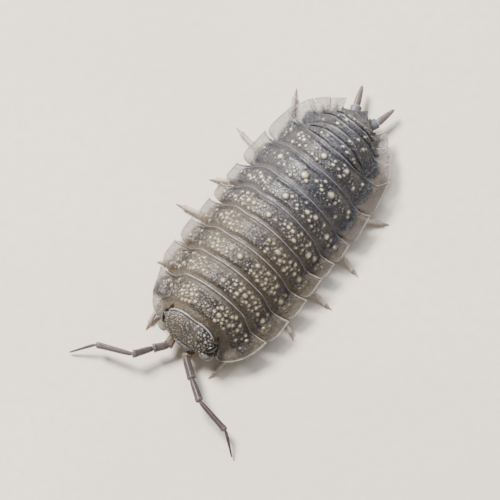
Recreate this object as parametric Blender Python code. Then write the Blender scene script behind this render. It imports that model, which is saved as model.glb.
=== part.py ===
"""A wide-skirted woodlouse with warty plates, life size, standing still.

The head points towards -Y and the animal's left side is +X.  Lengths below are
in millimetres, and MM turns them into Blender's metres.
"""
import math
import random

import bmesh
import bpy
import numpy as np
from mathutils import Matrix, Vector

MM = 0.001
MERGE_DISTANCE = 0.001     # points closer than this are one
SLIVER_WIDTH = 0.0005      # and triangles narrower than this are closed up
GAP = 0.3              # clear air between two neighbouring pieces
RIM_HEIGHT = 1.35      # top of the skirt's edge above the floor
SKIRT_THICKNESS = 0.42
SKIRT_SLOPE = 0.32     # how steeply the skirt falls towards its edge
VAULT_POWER = 2.3      # 2 is a parabola across the back, more is boxier
PLATE_LIFT = 0.17      # how far each plate rises towards its hind margin
FOLD_BLEND = 0.12      # height over which the vault and the skirt run together
BELLY_HEIGHT = 0.95
BELLY_HALF_WIDTH = 2.15
BELLY_SIDE_RUN = 0.55  # the belly's side wall leans over this much
LEG_HOLLOW_TOP = 1.7   # roof of the hollow under the skirt where the legs lie
ACROSS = 20            # strips across one plate
TAIL_ACROSS = 18
PLATE_STATIONS = (0.0, 0.04, 0.16, 0.5, 1.0)
TAIL_STATIONS = (0.0, 0.3, 1.0)
STRIP_CROWDING = 0.92  # above 0 the strips crowd towards the sides

# Height of the back above the skirt's edge, and half the width of the vault,
# at places along the body: (distance behind the forehead, value)
BACK_HEIGHT = ((0.5, 1.7), (1.8, 2.25), (4.0, 2.75), (7.0, 3.05), (12.5, 3.05),
               (15.5, 2.8), (17.5, 2.5), (19.2, 2.0), (20.8, 1.25), (22.0, 0.65))
VAULT_HALF_WIDTH = ((0.6, 2.35), (1.8, 3.1), (3.2, 3.65), (6.0, 3.95), (12.5, 4.05),
                    (15.5, 3.85), (17.6, 3.3), (19.2, 2.6), (20.5, 2.0), (22.0, 1.3))

# One row a plate, front to back, as distances behind the forehead:
# hind margin at the middle, at the foot of the vault, at the pointed corner,
# then half its width at that corner, where the outer edge starts and at the widest
# place, and how squarely the front shoulder turns
PLATES = ((3.99, 3.62, 3.75, 4.80, 2.62, 4.80, 1.65),
          (5.97, 5.72, 5.98, 5.12, 3.85, 5.15, 5.0),
          (7.88, 7.72, 8.02, 5.18, 4.00, 5.25, 5.0),
          (9.90, 9.66, 9.95, 5.08, 4.10, 5.15, 5.0),
          (11.69, 11.2, 11.35, 5.12, 4.15, 5.15, 5.5),
          (13.5, 13.1, 13.15, 5.10, 4.20, 5.18, 9.0),
          (15.66, 15.5, 15.80, 4.96, 4.25, 5.20, 12.0),
          (17.52, 17.80, 18.70, 4.52, 4.10, 4.96, 12.0))
SHOULDER_SPREAD = 3        # a shoulder widens the sides of a plate, not its middle
EDGE_TAPER = 1.5           # how late the outer edge draws in towards the corner
# A hind margin is straight out to the first share of its half width and dips until
# the second; both shares change from the front plates to the rear ones:
# (hind margin at the middle, share)
MARGIN_STRAIGHT = ((8.0, 0.52), (13.0, 0.44))
MARGIN_FOOT = ((8.0, 0.74), (13.0, 0.84), (18.5, 0.84), (19.5, 0.72))
PLATE_1_FRONT = 1.8        # behind the head
PLATE_1_LOBE_FRONT = 0.68  # the lobes beside the head reach this far forward
PLATE_1_LOBE_OUTER = 2.05  # the margin turns forward between these two half widths
PLATE_1_LOBE_INNER = 2.42

# The same for the five plates of the tail part; the first two have no corners
TAIL_PLATES = ((18.45, 18.1, 18.1, 2.75, 2.7, 2.75, 3.0),
               (19.10, 18.55, 18.5, 2.75, 2.7, 2.75, 3.0),
               (19.72, 19.35, 19.85, 3.78, 4.35, 4.42, 3.0),
               (20.30, 20.05, 20.88, 2.80, 3.65, 3.72, 3.0),
               (20.70, 20.7, 21.70, 1.84, 2.7, 2.78, 3.0))
TAIL_OVERLAP = 0.45
TAIL_STEP = 0.035      # each one lies this much lower than the one before
TAIL_DROOP = 0.22      # how far the ends of the first two sink into the third
TAIL_BELLY_HALF_WIDTH = 1.9
TAIL_BELLY_TAPER = 0.17

# The animal isn't quite straight.  (distance behind the forehead, amount) for how far
# the fold on its right side lags, how much the right of the tail lags for every
# millimetre from the middle, and how much the left side runs ahead in the same way
RIGHT_FOLD_LAG = ((3.0, 0.0), (5.7, 0.24), (7.7, 0.3), (9.7, 0.32), (11.3, 0.42), (13.1, 0.44), (15.0, 0.1))
RIGHT_TAIL_LAG = ((13.0, 0.0), (15.0, 0.11), (17.0, 0.135), (21.5, 0.14))
LEFT_LEAD = ((8.5, 0.0), (10.5, 0.06), (13.0, 0.06), (15.0, 0.0))
FOLD_RISE = (1.3, 3.5)     # the lag of the fold grows between these half widths
FOLD_FADE = (3.9, 5.0)     # and fades away again between these
LEAD_FADE = (2.4, 3.4)
FRONT_NARROWING = 0.055    # the first plate is this much narrower on the right
FRONT_NARROWED = (2.6, 4.6)

# Warts: how far across the plate, how far along it, radius
PLATE_WARTS = ((0.0, 0.52, 0.29), (0.15, 0.7, 0.18), (0.22, 0.36, 0.17), (0.40, 0.5, 0.28),
               (0.50, 0.72, 0.2), (0.57, 0.42, 0.18), (0.72, 0.55, 0.2))
FIRST_PLATE_WARTS = ((0.12, 0.25, 0.17), (0.34, 0.25, 0.2))
TAIL_WARTS = ((0.16, 0.72, 0.16), (0.42, 0.75, 0.15))
WART_SEGMENTS = 6
WART_SIZES = (0.85, 1.12)  # smallest and largest, as parts of the radius given
WART_RINGS = 4
WART_WANDER = 0.025
WART_SINK = 0.3        # part of its radius that a wart's centre lies below the surface
WART_HEIGHT = 0.85
SEED = 7

TELSON_LENGTH = 0.98
TELSON_HALF_WIDTH = 1.4
TELSON_THICKNESS = 0.4
TELSON_STATIONS = (0.0, 0.3, 0.6, 0.85, 1.0)
TELSON_HOLLOW = 1.45       # 1 gives straight sides, more hollows them
TELSON_TIP_WIDTH = 0.13
TELSON_FLATNESS = 0.9      # part of the vault's curve that it keeps across
TELSON_BASE_WIDTH = 3.0
TELSON_SINK = 0.6          # how much lower than the vault its tip lies
TELSON_STRIPS = 8

HEAD_HIND = 1.5
# Head rings: distance behind the forehead, half width, lowest and highest point
HEAD_RINGS = ((0.14, 1.05, 1.62, 1.98),
              (0.30, 1.65, 1.48, 2.38),
              (0.60, 1.98, 1.34, 2.80),
              (1.00, 2.10, 1.22, 3.15),
              (HEAD_HIND, 2.02, 1.16, 3.38))
HEAD_POWER = 2.5
RING_POINTS = 24
LUMP_SEGMENTS = 12
LUMP_RINGS = 8
EYE_CENTRE = (2.0, 0.88, 2.28)
EYE_RADII = (0.28, 0.5, 0.35)
EYE_GAP = 0.25
SIDE_LOBE_CENTRE = (1.86, 0.30, 1.66)
SIDE_LOBE_RADII = (0.46, 0.36, 0.2)
MIDDLE_LOBE_CENTRE = (0.1, 0.32, 1.74)
MIDDLE_LOBE_RADII = (0.95, 0.3, 0.22)
MOUTH_CENTRE = (0.0, 1.0, 1.15)
MOUTH_RADII = (1.25, 0.47, 0.55)

# Feeler joints from root to tip for each side, and the radius at each joint
FEELER_JOINTS = {
    "left": ((0.90, 0.36, 0.98), (0.80, -0.48, 1.15), (2.16, -1.53, 1.25),
             (3.64, -2.57, 1.55), (6.35, -3.07, 1.05), (7.71, -4.17, 0.27)),
    "right": ((-0.90, 0.36, 0.98), (-0.76, -0.50, 1.15), (-1.45, -1.36, 1.25),
              (-2.28, -2.68, 1.55), (-4.92, -3.57, 1.05), (-6.19, -4.96, 0.27)),
}
FEELER_PIECES = ("base", "third", "fourth", "fifth", "whip")
FEELER_RADII = (0.28, 0.27, 0.28, 0.27, 0.25, 0.16)
ELBOW_TRIM = 0.27
FEELER_STATIONS = (0.0, 0.12, 0.5, 0.88, 1.0)

# Where each foot stands: half width and distance behind the forehead
FEET = {
    "left": ((2.8, -0.5), (4.2, 2.7), (5.9, 5.4), (6.7, 8.9), (6.7, 12.0),
             (6.1, 16.5), (3.9, 19.0)),
    "right": ((2.95, -0.3), (5.4, 4.2), (5.3, 6.2), (7.0, 8.5), (6.2, 11.4),
              (7.05, 15.7), (5.4, 20.7)),
}
# Seven pairs of legs under eight plates: the fifth plate carries none
LEG_ROOTS = (3.0, 5.25, 7.15, 9.05, 12.75, 14.7, 16.75)
LEG_ROOT_HALF_WIDTH = BELLY_HALF_WIDTH + BELLY_SIDE_RUN / 2 + GAP
LEG_BEND = 0.55        # how far a leg first runs outwards before it turns
LEG_BEND_PLACE = 0.3   # part of the way from root to foot where it does
LEG_RADIUS = 0.29
# Along a leg from root to foot: part of the way, height, part of the radius
LEG_SHAPE = ((0.0, 1.12, 0.95), (0.1, 1.13, 1.0), (0.27, 1.04, 1.0), (0.33, 0.98, 0.84),
             (0.37, 0.93, 0.95), (0.52, 0.74, 0.9), (0.57, 0.66, 0.78), (0.61, 0.6, 0.86),
             (0.8, 0.36, 0.8), (0.84, 0.3, 0.7), (1.0, 0.1, 0.5))

UROPOD_BASE = (0.86, 21.5, 0.98)
UROPOD_BASE_SIZE = (0.72, 0.72, 0.52)
UROPOD_BASE_TURN = math.radians(22)
UROPOD_BEVEL = 0.1
UROPOD_TIP_ROOT = (1.08, 22.12, 0.98)
UROPOD_TIP_END = {"left": (1.34, 23.42, 0.95), "right": (1.62, 23.24, 0.95)}
UROPOD_TIP_STATIONS = (0.0, 0.3, 0.7, 1.0)
UROPOD_TIP_RADII = (0.25, 0.27, 0.2, 0.13)


def clear_scene():
    for item in list(bpy.data.objects):
        bpy.data.objects.remove(item, do_unlink=True)


def new_collection(name):
    collection = bpy.data.collections.new(name)
    bpy.context.scene.collection.children.link(collection)
    return collection


def material(name, colour, roughness):
    made = bpy.data.materials.new(name)
    made.use_nodes = True
    shader = made.node_tree.nodes["Principled BSDF"]
    shader.inputs["Base Color"].default_value = (*colour, 1.0)
    shader.inputs["Roughness"].default_value = roughness
    shader.inputs["Metallic"].default_value = 0.0
    return made


def add_part(name, mesh, collection, colour, roughness=0.4):
    """Make one named piece from a mesh and give it its own finish."""
    part = bpy.data.objects.new(name, mesh)
    collection.objects.link(part)
    mesh.materials.clear()
    mesh.materials.append(material(name + "_finish", colour, roughness))
    mesh.shade_smooth()
    mesh.set_sharp_from_angle(angle=math.radians(40))
    return part


def along(distance, table):
    """Read a value off a short table of (distance, value) pairs."""
    return float(np.interp(distance, [row[0] for row in table], [row[1] for row in table]))


def smooth(value):
    value = min(1.0, max(0.0, value))
    return value * value * (3.0 - 2.0 * value)


def back_surface(x, y, edge):
    """Height of the plates' outer surface: a vault that runs out into a skirt."""
    vault = along(y, BACK_HEIGHT) * (1.0 - (abs(x) / along(y, VAULT_HALF_WIDTH)) ** VAULT_POWER)
    skirt = SKIRT_SLOPE * max(0.0, edge - abs(x))
    top = max(vault, skirt)
    near = max(0.0, FOLD_BLEND - abs(vault - skirt)) / FOLD_BLEND
    return RIM_HEIGHT + top + near * near * FOLD_BLEND / 4


def under_surface(x, y, top, belly):
    """Height of the underside: a flat belly between two hollows for the legs."""
    side = smooth((abs(x) - belly) / BELLY_SIDE_RUN)
    roof = min(LEG_HOLLOW_TOP, top - SKIRT_THICKNESS)
    return BELLY_HEIGHT + side * (roof - BELLY_HEIGHT)


def hind_margin(x, row):
    """Distance of a plate's hind margin: straight, a dip at the vault's foot, a corner."""
    middle, dip, corner, half_width = row[:4]
    foot = along(middle, MARGIN_FOOT) * half_width
    straight = along(middle, MARGIN_STRAIGHT) * half_width
    if abs(x) <= foot:
        return middle + (dip - middle) * smooth((abs(x) - straight) / (foot - straight))
    return dip + (corner - dip) * smooth(0.5 * (abs(x) - foot) / (half_width - foot)) * 2.0


def ramp(value, limits):
    """0 below the first limit and 1 above the second."""
    low, high = limits
    return smooth((value - low) / (high - low))


def posed(x, y, reach=None):
    """Where a point of the straight animal lies once it stands as it does here."""
    reach = abs(x) if reach is None else reach
    if x > 0:
        return x, y - along(y, LEFT_LEAD) * reach * (1.0 - ramp(reach, LEAD_FADE))
    fold = along(y, RIGHT_FOLD_LAG) * ramp(reach, FOLD_RISE) * (1.0 - ramp(reach, FOLD_FADE))
    narrow = FRONT_NARROWING * (1.0 - ramp(y, FRONT_NARROWED)) * ramp(reach, FRONT_NARROWED)
    return x * (1.0 - narrow), y + fold + along(y, RIGHT_TAIL_LAG) * reach


def slab(name, tops, bottoms):
    """A closed mesh between two grids of points that match one another."""
    rows = len(tops)
    columns = len(tops[0])
    points = [point for grid in (tops, bottoms) for row in grid for point in row]
    lower = rows * columns

    def corners(row, column):
        first = row * columns + column
        return first, first + 1, first + columns + 1, first + columns

    faces = []
    for row in range(rows - 1):
        for column in range(columns - 1):
            a, b, c, d = corners(row, column)
            if column < (columns - 1) / 2:
                halves = ((a, b, d), (b, c, d))
            else:
                halves = ((a, b, c), (a, c, d))
            faces.extend(halves)
            faces.extend(tuple(lower + i for i in reversed(half)) for half in halves)
    border = [column for column in range(columns)]
    border += [row * columns + columns - 1 for row in range(1, rows)]
    border += [(rows - 1) * columns + column for column in reversed(range(columns - 1))]
    border += [row * columns for row in reversed(range(1, rows - 1))]
    for here, there in zip(border, border[1:] + border[:1]):
        faces.append((here, lower + here, lower + there))
        faces.append((here, lower + there, there))
    return mesh_from(name, points, faces)


def mesh_from(name, points, faces):
    shape = bmesh.new()
    corners = [shape.verts.new(point) for point in points]
    for face in faces:
        shape.faces.new([corners[i] for i in face])
    return closed_mesh(name, shape)


def closed_mesh(name, shape):
    """Turn a shape drawn in millimetres into a mesh in metres, faces pointing out."""
    bmesh.ops.remove_doubles(shape, verts=shape.verts, dist=MERGE_DISTANCE)
    bmesh.ops.triangulate(shape, faces=shape.faces)
    bmesh.ops.recalc_face_normals(shape, faces=shape.faces)
    if shape.calc_volume(signed=True) < 0.0:
        bmesh.ops.reverse_faces(shape, faces=shape.faces)
    bmesh.ops.scale(shape, vec=(MM, MM, MM), verts=shape.verts)
    mesh = bpy.data.meshes.new(name)
    shape.to_mesh(mesh)
    shape.free()
    return mesh


def plate_point(side, station, front, row, lower=0.0, droop=0.0):
    """A point on a plate: side runs from -1 to 1 across it, station from 0 to 1 along it."""
    _, _, _, corner_width, start_width, widest, shoulder = row
    edge = start_width + (widest - start_width) * math.sqrt(1 - (1 - station) ** shoulder)
    edge -= (widest - corner_width) * station ** EDGE_TAPER
    straight_edge = start_width + (corner_width - start_width) * station
    start = front(side * start_width)
    x = side * straight_edge + side * (edge - straight_edge) * abs(side) ** SHOULDER_SPREAD
    y = start + (hind_margin(side * corner_width, row) - start) * station
    z = back_surface(x, y, edge) + PLATE_LIFT * station ** 2 - lower - droop * side ** 4
    return (*posed(x, y, abs(side) * straight_edge), z)


def plate_mesh(name, surface, stations, belly, strips=ACROSS):
    """One plate of the back, from its front margin to its hind margin."""
    tops = []
    bottoms = []
    spread = math.pi / 2 * STRIP_CROWDING
    turns = [spread * (2 * strip / strips - 1) for strip in range(strips + 1)]
    for station in stations:
        top_row = [surface(math.sin(turn) / math.sin(spread), station) for turn in turns]
        tops.append(top_row)
        bottoms.append([(x, y, under_surface(x, y, z, belly)) for x, y, z in top_row])
    return slab(name, tops, bottoms)


def warts_on(name, surface, pattern, chance):
    """Low domes set on a plate in a mirrored pattern, each a little out of place."""
    warts = []
    for across, station, radius in pattern:
        for sign in ((1,) if across == 0.0 else (1, -1)):
            side = sign * across + chance.uniform(-1, 1) * WART_WANDER
            size = radius * chance.uniform(*WART_SIZES)
            x, y, z = surface(side, station + chance.uniform(-1, 1) * WART_WANDER)
            centre = (x, y, z - WART_SINK * size)
            radii = (size, size, size * WART_HEIGHT)
            warts.append(ball(f"{name}_wart_{len(warts)}", centre, radii, WART_SEGMENTS, WART_RINGS))
    return warts


def first_plate_front(x):
    """The first plate's front margin, which runs forward on both sides of the head."""
    turn = smooth((abs(x) - PLATE_1_LOBE_OUTER) / (PLATE_1_LOBE_INNER - PLATE_1_LOBE_OUTER))
    return PLATE_1_FRONT + (PLATE_1_LOBE_FRONT - PLATE_1_FRONT) * turn


def broad_plate_surface(number):
    """The outer surface of a numbered broad plate as a function of side and station."""
    row = PLATES[number - 1]

    def front(x):
        if number == 1:
            return first_plate_front(x)
        return hind_margin(x, PLATES[number - 2]) + GAP

    def surface(side, station):
        return plate_point(side, station, front, row)

    return surface


def make_plates(collection):
    chance = random.Random(SEED)
    for number in range(1, len(PLATES) + 1):
        name = f"plate_{number}"
        surface = broad_plate_surface(number)
        pattern = PLATE_WARTS + (FIRST_PLATE_WARTS if number == 1 else ())
        pieces = [plate_mesh(name, surface, PLATE_STATIONS, BELLY_HALF_WIDTH)]
        pieces += warts_on(name, surface, pattern, chance)
        shade = 0.32 - 0.018 * number
        add_part(name, join_pieces(name, pieces), collection, (shade, shade * 0.93, shade * 0.86))


def join_pieces(name, pieces):
    """Fuse closed meshes into one and keep only its largest closed surface."""
    group = bpy.data.collections.new(name + "_pieces")
    bpy.context.scene.collection.children.link(group)
    first = bpy.data.objects.new(name + "_first", pieces[0])
    bpy.context.scene.collection.objects.link(first)
    for mesh in pieces[1:]:
        group.objects.link(bpy.data.objects.new(mesh.name, mesh))
    union = first.modifiers.new("join", "BOOLEAN")
    union.operation = "UNION"
    union.operand_type = "COLLECTION"
    union.collection = group
    union.solver = "EXACT"
    bpy.context.view_layer.update()
    evaluated = first.evaluated_get(bpy.context.evaluated_depsgraph_get())
    joined = bpy.data.meshes.new_from_object(evaluated)
    for item in list(group.objects) + [first]:
        bpy.data.objects.remove(item, do_unlink=True)
    bpy.data.collections.remove(group)
    keep_largest(joined)
    joined.name = name
    return joined


def keep_largest(mesh):
    """Delete every closed surface but the largest one."""
    shape = bmesh.new()
    shape.from_mesh(mesh)
    bmesh.ops.triangulate(shape, faces=shape.faces)
    bmesh.ops.dissolve_degenerate(shape, dist=SLIVER_WIDTH * MM, edges=shape.edges)
    bmesh.ops.triangulate(shape, faces=shape.faces)
    waiting = set(shape.faces)
    islands = []
    while waiting:
        seed = waiting.pop()
        island = {seed}
        edge_of = [seed]
        while edge_of:
            face = edge_of.pop()
            for edge in face.edges:
                for other in edge.link_faces:
                    if other in waiting:
                        waiting.remove(other)
                        island.add(other)
                        edge_of.append(other)
        islands.append(island)
    islands.sort(key=lambda island: sum(face.calc_area() for face in island), reverse=True)
    loose = [face for island in islands[1:] for face in island]
    bmesh.ops.delete(shape, geom=loose, context="FACES")
    shape.to_mesh(mesh)
    shape.free()


def tail_plate_surface(number):
    """The outer surface of a numbered tail plate, tucked under the one before it."""
    row = TAIL_PLATES[number - 1]

    def front(x):
        limit = hind_margin(x, PLATES[-1]) + GAP
        if number == 1:
            return limit
        return max(limit, hind_margin(x, TAIL_PLATES[number - 2]) - TAIL_OVERLAP)

    droop = TAIL_DROOP if number < 3 else 0.0

    def surface(side, station):
        return plate_point(side, station, front, row, TAIL_STEP * number, droop)

    return surface


def make_tail(collection):
    """The five short plates behind the broad ones, fused like roof tiles."""
    chance = random.Random(SEED + 1)
    pieces = []
    warts = []
    for number, row in enumerate(TAIL_PLATES, start=1):
        surface = tail_plate_surface(number)
        name = f"tail_{number}"
        belly = TAIL_BELLY_HALF_WIDTH - TAIL_BELLY_TAPER * number
        pieces.append(plate_mesh(name, surface, TAIL_STATIONS, belly, TAIL_ACROSS))
        if number != 2:
            warts += warts_on(name, surface, TAIL_WARTS, chance)
    return add_part("pleon", join_pieces("pleon", pieces + warts), collection, (0.13, 0.13, 0.14))


def make_telson(collection):
    """The three-cornered end plate with hollowed sides."""
    last = TAIL_PLATES[-1]
    tops = []
    bottoms = []
    for station in TELSON_STATIONS:
        half_width = TELSON_HALF_WIDTH * (1.0 - station) ** TELSON_HOLLOW + TELSON_TIP_WIDTH
        top_row = []
        for strip in range(TELSON_STRIPS + 1):
            x = half_width * (2 * strip / TELSON_STRIPS - 1)
            y = hind_margin(x, last) + GAP + TELSON_LENGTH * station
            z = back_surface(x * TELSON_FLATNESS, y, TELSON_BASE_WIDTH) - TELSON_SINK * station
            top_row.append((*posed(x, y), z))
        tops.append(top_row)
        bottoms.append([(x, y, z - TELSON_THICKNESS) for x, y, z in top_row])
    return add_part("telson", slab("telson", tops, bottoms), collection, (0.12, 0.12, 0.13))


def ball(name, centre, radii, segments=LUMP_SEGMENTS, rings=LUMP_RINGS):
    """A round lump: a sphere scaled along each axis before it is placed."""
    shape = bmesh.new()
    bmesh.ops.create_uvsphere(shape, u_segments=segments, v_segments=rings, radius=1.0)
    bmesh.ops.scale(shape, vec=radii, verts=shape.verts)
    bmesh.ops.translate(shape, vec=centre, verts=shape.verts)
    return closed_mesh(name, shape)


def mirrored(centre, side):
    return (centre[0] * side, centre[1], centre[2])


def posed_side(centre, side):
    x, y, z = mirrored(centre, side)
    return (*posed(x, y), z)


def head_capsule():
    """The top of the head, lofted through rings from the forehead to the neck."""
    points = []
    for y, half_width, low, high in HEAD_RINGS:
        middle = (low + high) / 2
        half_height = (high - low) / 2
        for step in range(RING_POINTS):
            angle = 2 * math.pi * step / RING_POINTS
            across = math.copysign(abs(math.cos(angle)) ** (2 / HEAD_POWER), math.cos(angle))
            upward = math.copysign(abs(math.sin(angle)) ** (2 / HEAD_POWER), math.sin(angle))
            points.append((across * half_width, y, middle + upward * half_height))
    faces = []
    for ring in range(len(HEAD_RINGS) - 1):
        for step in range(RING_POINTS):
            a = ring * RING_POINTS + step
            b = ring * RING_POINTS + (step + 1) % RING_POINTS
            faces.append((a, b, b + RING_POINTS))
            faces.append((a, b + RING_POINTS, a + RING_POINTS))
    for ring in (0, len(HEAD_RINGS) - 1):
        y, _, low, high = HEAD_RINGS[ring]
        points.append((0.0, y, (low + high) / 2))
        hub = len(points) - 1
        for step in range(RING_POINTS):
            faces.append((ring * RING_POINTS + step, ring * RING_POINTS + (step + 1) % RING_POINTS, hub))
    return mesh_from("head_capsule", points, faces)


def make_head(collection, cutters):
    pieces = [head_capsule(), ball("mouth", MOUTH_CENTRE, MOUTH_RADII)]
    pieces.append(ball("middle_lobe", MIDDLE_LOBE_CENTRE, MIDDLE_LOBE_RADII))
    for side, word in ((1, "left"), (-1, "right")):
        pieces.append(ball("lobe_" + word, mirrored(SIDE_LOBE_CENTRE, side), SIDE_LOBE_RADII))
    head = add_part("head", join_pieces("head", pieces), collection, (0.13, 0.12, 0.115))
    for side, word in ((1, "left"), (-1, "right")):
        centre = mirrored(EYE_CENTRE, side)
        eye = ball("eye_" + word, centre, EYE_RADII)
        add_part("eye_" + word, eye, collection, (0.01, 0.01, 0.012), 0.2)
        socket_radii = [radius + EYE_GAP for radius in EYE_RADII]
        socket = bpy.data.objects.new("socket_" + word, ball("socket_" + word, centre, socket_radii))
        cutters.objects.link(socket)
        socket.hide_render = True
        socket.display_type = "WIRE"
        cut = head.modifiers.new("socket_" + word, "BOOLEAN")
        cut.operation = "DIFFERENCE"
        cut.solver = "EXACT"
        cut.object = socket


def tube(name, path, radii, floor_cut=False):
    """A tapered round member along a path, as a closed mesh."""
    curve = bpy.data.curves.new(name, "CURVE")
    curve.dimensions = "3D"
    curve.bevel_depth = 1.0
    curve.bevel_resolution = 2
    curve.use_fill_caps = True
    spline = curve.splines.new("POLY")
    spline.points.add(len(path) - 1)
    for point, place, radius in zip(spline.points, path, radii):
        point.co = (*place, 1.0)
        point.radius = radius
    holder = bpy.data.objects.new(name, curve)
    bpy.context.scene.collection.objects.link(holder)
    bpy.context.view_layer.update()
    evaluated = holder.evaluated_get(bpy.context.evaluated_depsgraph_get())
    mesh = bpy.data.meshes.new_from_object(evaluated)
    bpy.data.objects.remove(holder, do_unlink=True)
    bpy.data.curves.remove(curve)
    shape = bmesh.new()
    shape.from_mesh(mesh)
    bmesh.ops.remove_doubles(shape, verts=shape.verts, dist=MERGE_DISTANCE)
    if floor_cut:
        flatten_foot(shape)
    return closed_mesh(name, shape)


def make_feelers(collection):
    for word, joints in FEELER_JOINTS.items():
        for number, piece in enumerate(FEELER_PIECES):
            start = Vector(joints[number])
            end = Vector(joints[number + 1])
            direction = (end - start).normalized()
            head_trim = 0.0 if number == 0 else GAP / 2
            tail_trim = 0.0 if number == len(FEELER_PIECES) - 1 else GAP / 2
            if number == 0:
                tail_trim = ELBOW_TRIM
            if number == 1:
                head_trim = ELBOW_TRIM
            start = start + direction * head_trim
            end = end - direction * tail_trim
            thick = FEELER_RADII[number]
            thin = FEELER_RADII[number + 1]
            path = [start.lerp(end, part) for part in FEELER_STATIONS]
            radii = (0.9 * thick, thick, 0.95 * (thick + thin) / 2, thin, 0.9 * thin)
            mesh = tube(f"feeler_{word}_{piece}", path, radii)
            add_part(f"antenna_{word}_{piece}", mesh, collection, (0.42, 0.35, 0.33))


def make_legs(collection):
    for side, word in ((1, "left"), (-1, "right")):
        for number, (foot_x, foot_y) in enumerate(FEET[word], start=1):
            root = Vector((LEG_ROOT_HALF_WIDTH, LEG_ROOTS[number - 1], 0.0))
            foot = Vector((foot_x, foot_y, 0.0))
            bend = root.lerp(foot, LEG_BEND_PLACE)
            bend.x += LEG_BEND
            path = []
            for part, height, _ in LEG_SHAPE:
                place = root.lerp(bend, part).lerp(bend.lerp(foot, part), part)
                path.append((place.x * side, place.y, height))
            radii = [LEG_RADIUS * thickness for _, _, thickness in LEG_SHAPE]
            mesh = tube(f"leg_{word}_{number}", path, radii, floor_cut=True)
            add_part(f"leg_{word}_{number}", mesh, collection, (0.5, 0.4, 0.32))


def flatten_foot(shape):
    """Trim what would reach below the floor, so that the foot ends in a small flat."""
    geometry = list(shape.verts) + list(shape.edges) + list(shape.faces)
    cut = bmesh.ops.bisect_plane(shape, geom=geometry, dist=1e-4, plane_co=(0, 0, 0),
                                 plane_no=(0, 0, -1), clear_outer=True)
    edges = [item for item in cut["geom_cut"] if isinstance(item, bmesh.types.BMEdge)]
    bmesh.ops.contextual_create(shape, geom=edges)


def make_uropods(collection):
    for side, word in ((1, "left"), (-1, "right")):
        shape = bmesh.new()
        bmesh.ops.create_cube(shape, size=1.0)
        bmesh.ops.scale(shape, vec=UROPOD_BASE_SIZE, verts=shape.verts)
        bmesh.ops.bevel(shape, geom=shape.edges[:], offset=UROPOD_BEVEL, segments=1, affect="EDGES")
        turn = Matrix.Rotation(-UROPOD_BASE_TURN * side, 3, "Z")
        bmesh.ops.rotate(shape, matrix=turn, verts=shape.verts)
        bmesh.ops.translate(shape, vec=posed_side(UROPOD_BASE, side), verts=shape.verts)
        mesh = closed_mesh("uropod_base_" + word, shape)
        add_part("uropod_base_" + word, mesh, collection, (0.3, 0.29, 0.3))
        start = Vector(posed_side(UROPOD_TIP_ROOT, side))
        end = Vector(posed_side(UROPOD_TIP_END[word], side))
        path = [start.lerp(end, part) for part in UROPOD_TIP_STATIONS]
        mesh = tube("uropod_tip_" + word, path, UROPOD_TIP_RADII)
        add_part("uropod_tip_" + word, mesh, collection, (0.38, 0.31, 0.28))


def centre_on_floor(collection):
    """Hang every piece from one empty, so the middle of the whole is over the origin."""
    bpy.context.view_layer.update()
    corners = [vertex.co for part in collection.objects for vertex in part.data.vertices]
    middle_x = (min(c.x for c in corners) + max(c.x for c in corners)) / 2
    middle_y = (min(c.y for c in corners) + max(c.y for c in corners)) / 2
    parts = list(bpy.data.objects)
    anchor = bpy.data.objects.new("woodlouse_anchor", None)
    bpy.context.scene.collection.objects.link(anchor)
    anchor.location = (-middle_x, -middle_y, 0.0)
    for part in parts:
        part.parent = anchor


def main():
    clear_scene()
    animal = new_collection("woodlouse")
    cutters = new_collection("cutters")
    make_head(animal, cutters)
    make_plates(animal)
    make_tail(animal)
    make_telson(animal)
    make_uropods(animal)
    make_feelers(animal)
    make_legs(animal)
    centre_on_floor(animal)
    bpy.context.view_layer.update()


main()
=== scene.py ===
import math
import random

import bmesh
import bpy
import numpy as np
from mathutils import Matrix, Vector


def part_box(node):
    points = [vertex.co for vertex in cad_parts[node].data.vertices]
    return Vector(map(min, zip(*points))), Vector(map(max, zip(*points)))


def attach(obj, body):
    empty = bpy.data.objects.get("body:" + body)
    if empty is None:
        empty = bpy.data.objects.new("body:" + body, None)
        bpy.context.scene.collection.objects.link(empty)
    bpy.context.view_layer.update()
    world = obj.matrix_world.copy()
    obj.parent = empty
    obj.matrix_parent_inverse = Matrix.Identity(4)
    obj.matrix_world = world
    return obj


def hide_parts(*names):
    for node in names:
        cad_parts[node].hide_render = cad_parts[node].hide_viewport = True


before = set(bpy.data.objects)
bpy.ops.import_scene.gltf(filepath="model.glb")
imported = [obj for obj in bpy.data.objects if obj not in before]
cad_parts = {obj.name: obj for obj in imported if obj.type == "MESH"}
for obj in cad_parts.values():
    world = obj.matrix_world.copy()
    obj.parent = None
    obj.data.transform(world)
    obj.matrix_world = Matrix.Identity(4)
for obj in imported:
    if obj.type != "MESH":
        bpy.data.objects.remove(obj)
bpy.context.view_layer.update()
print("frame loaded with", len(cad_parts), "nodes")

# Everything is drawn in body millimetres and turned into metres when a mesh is made:
# x runs to the animal's left, y is the distance behind the forehead, z is above the floor.
mm = 0.001

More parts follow.
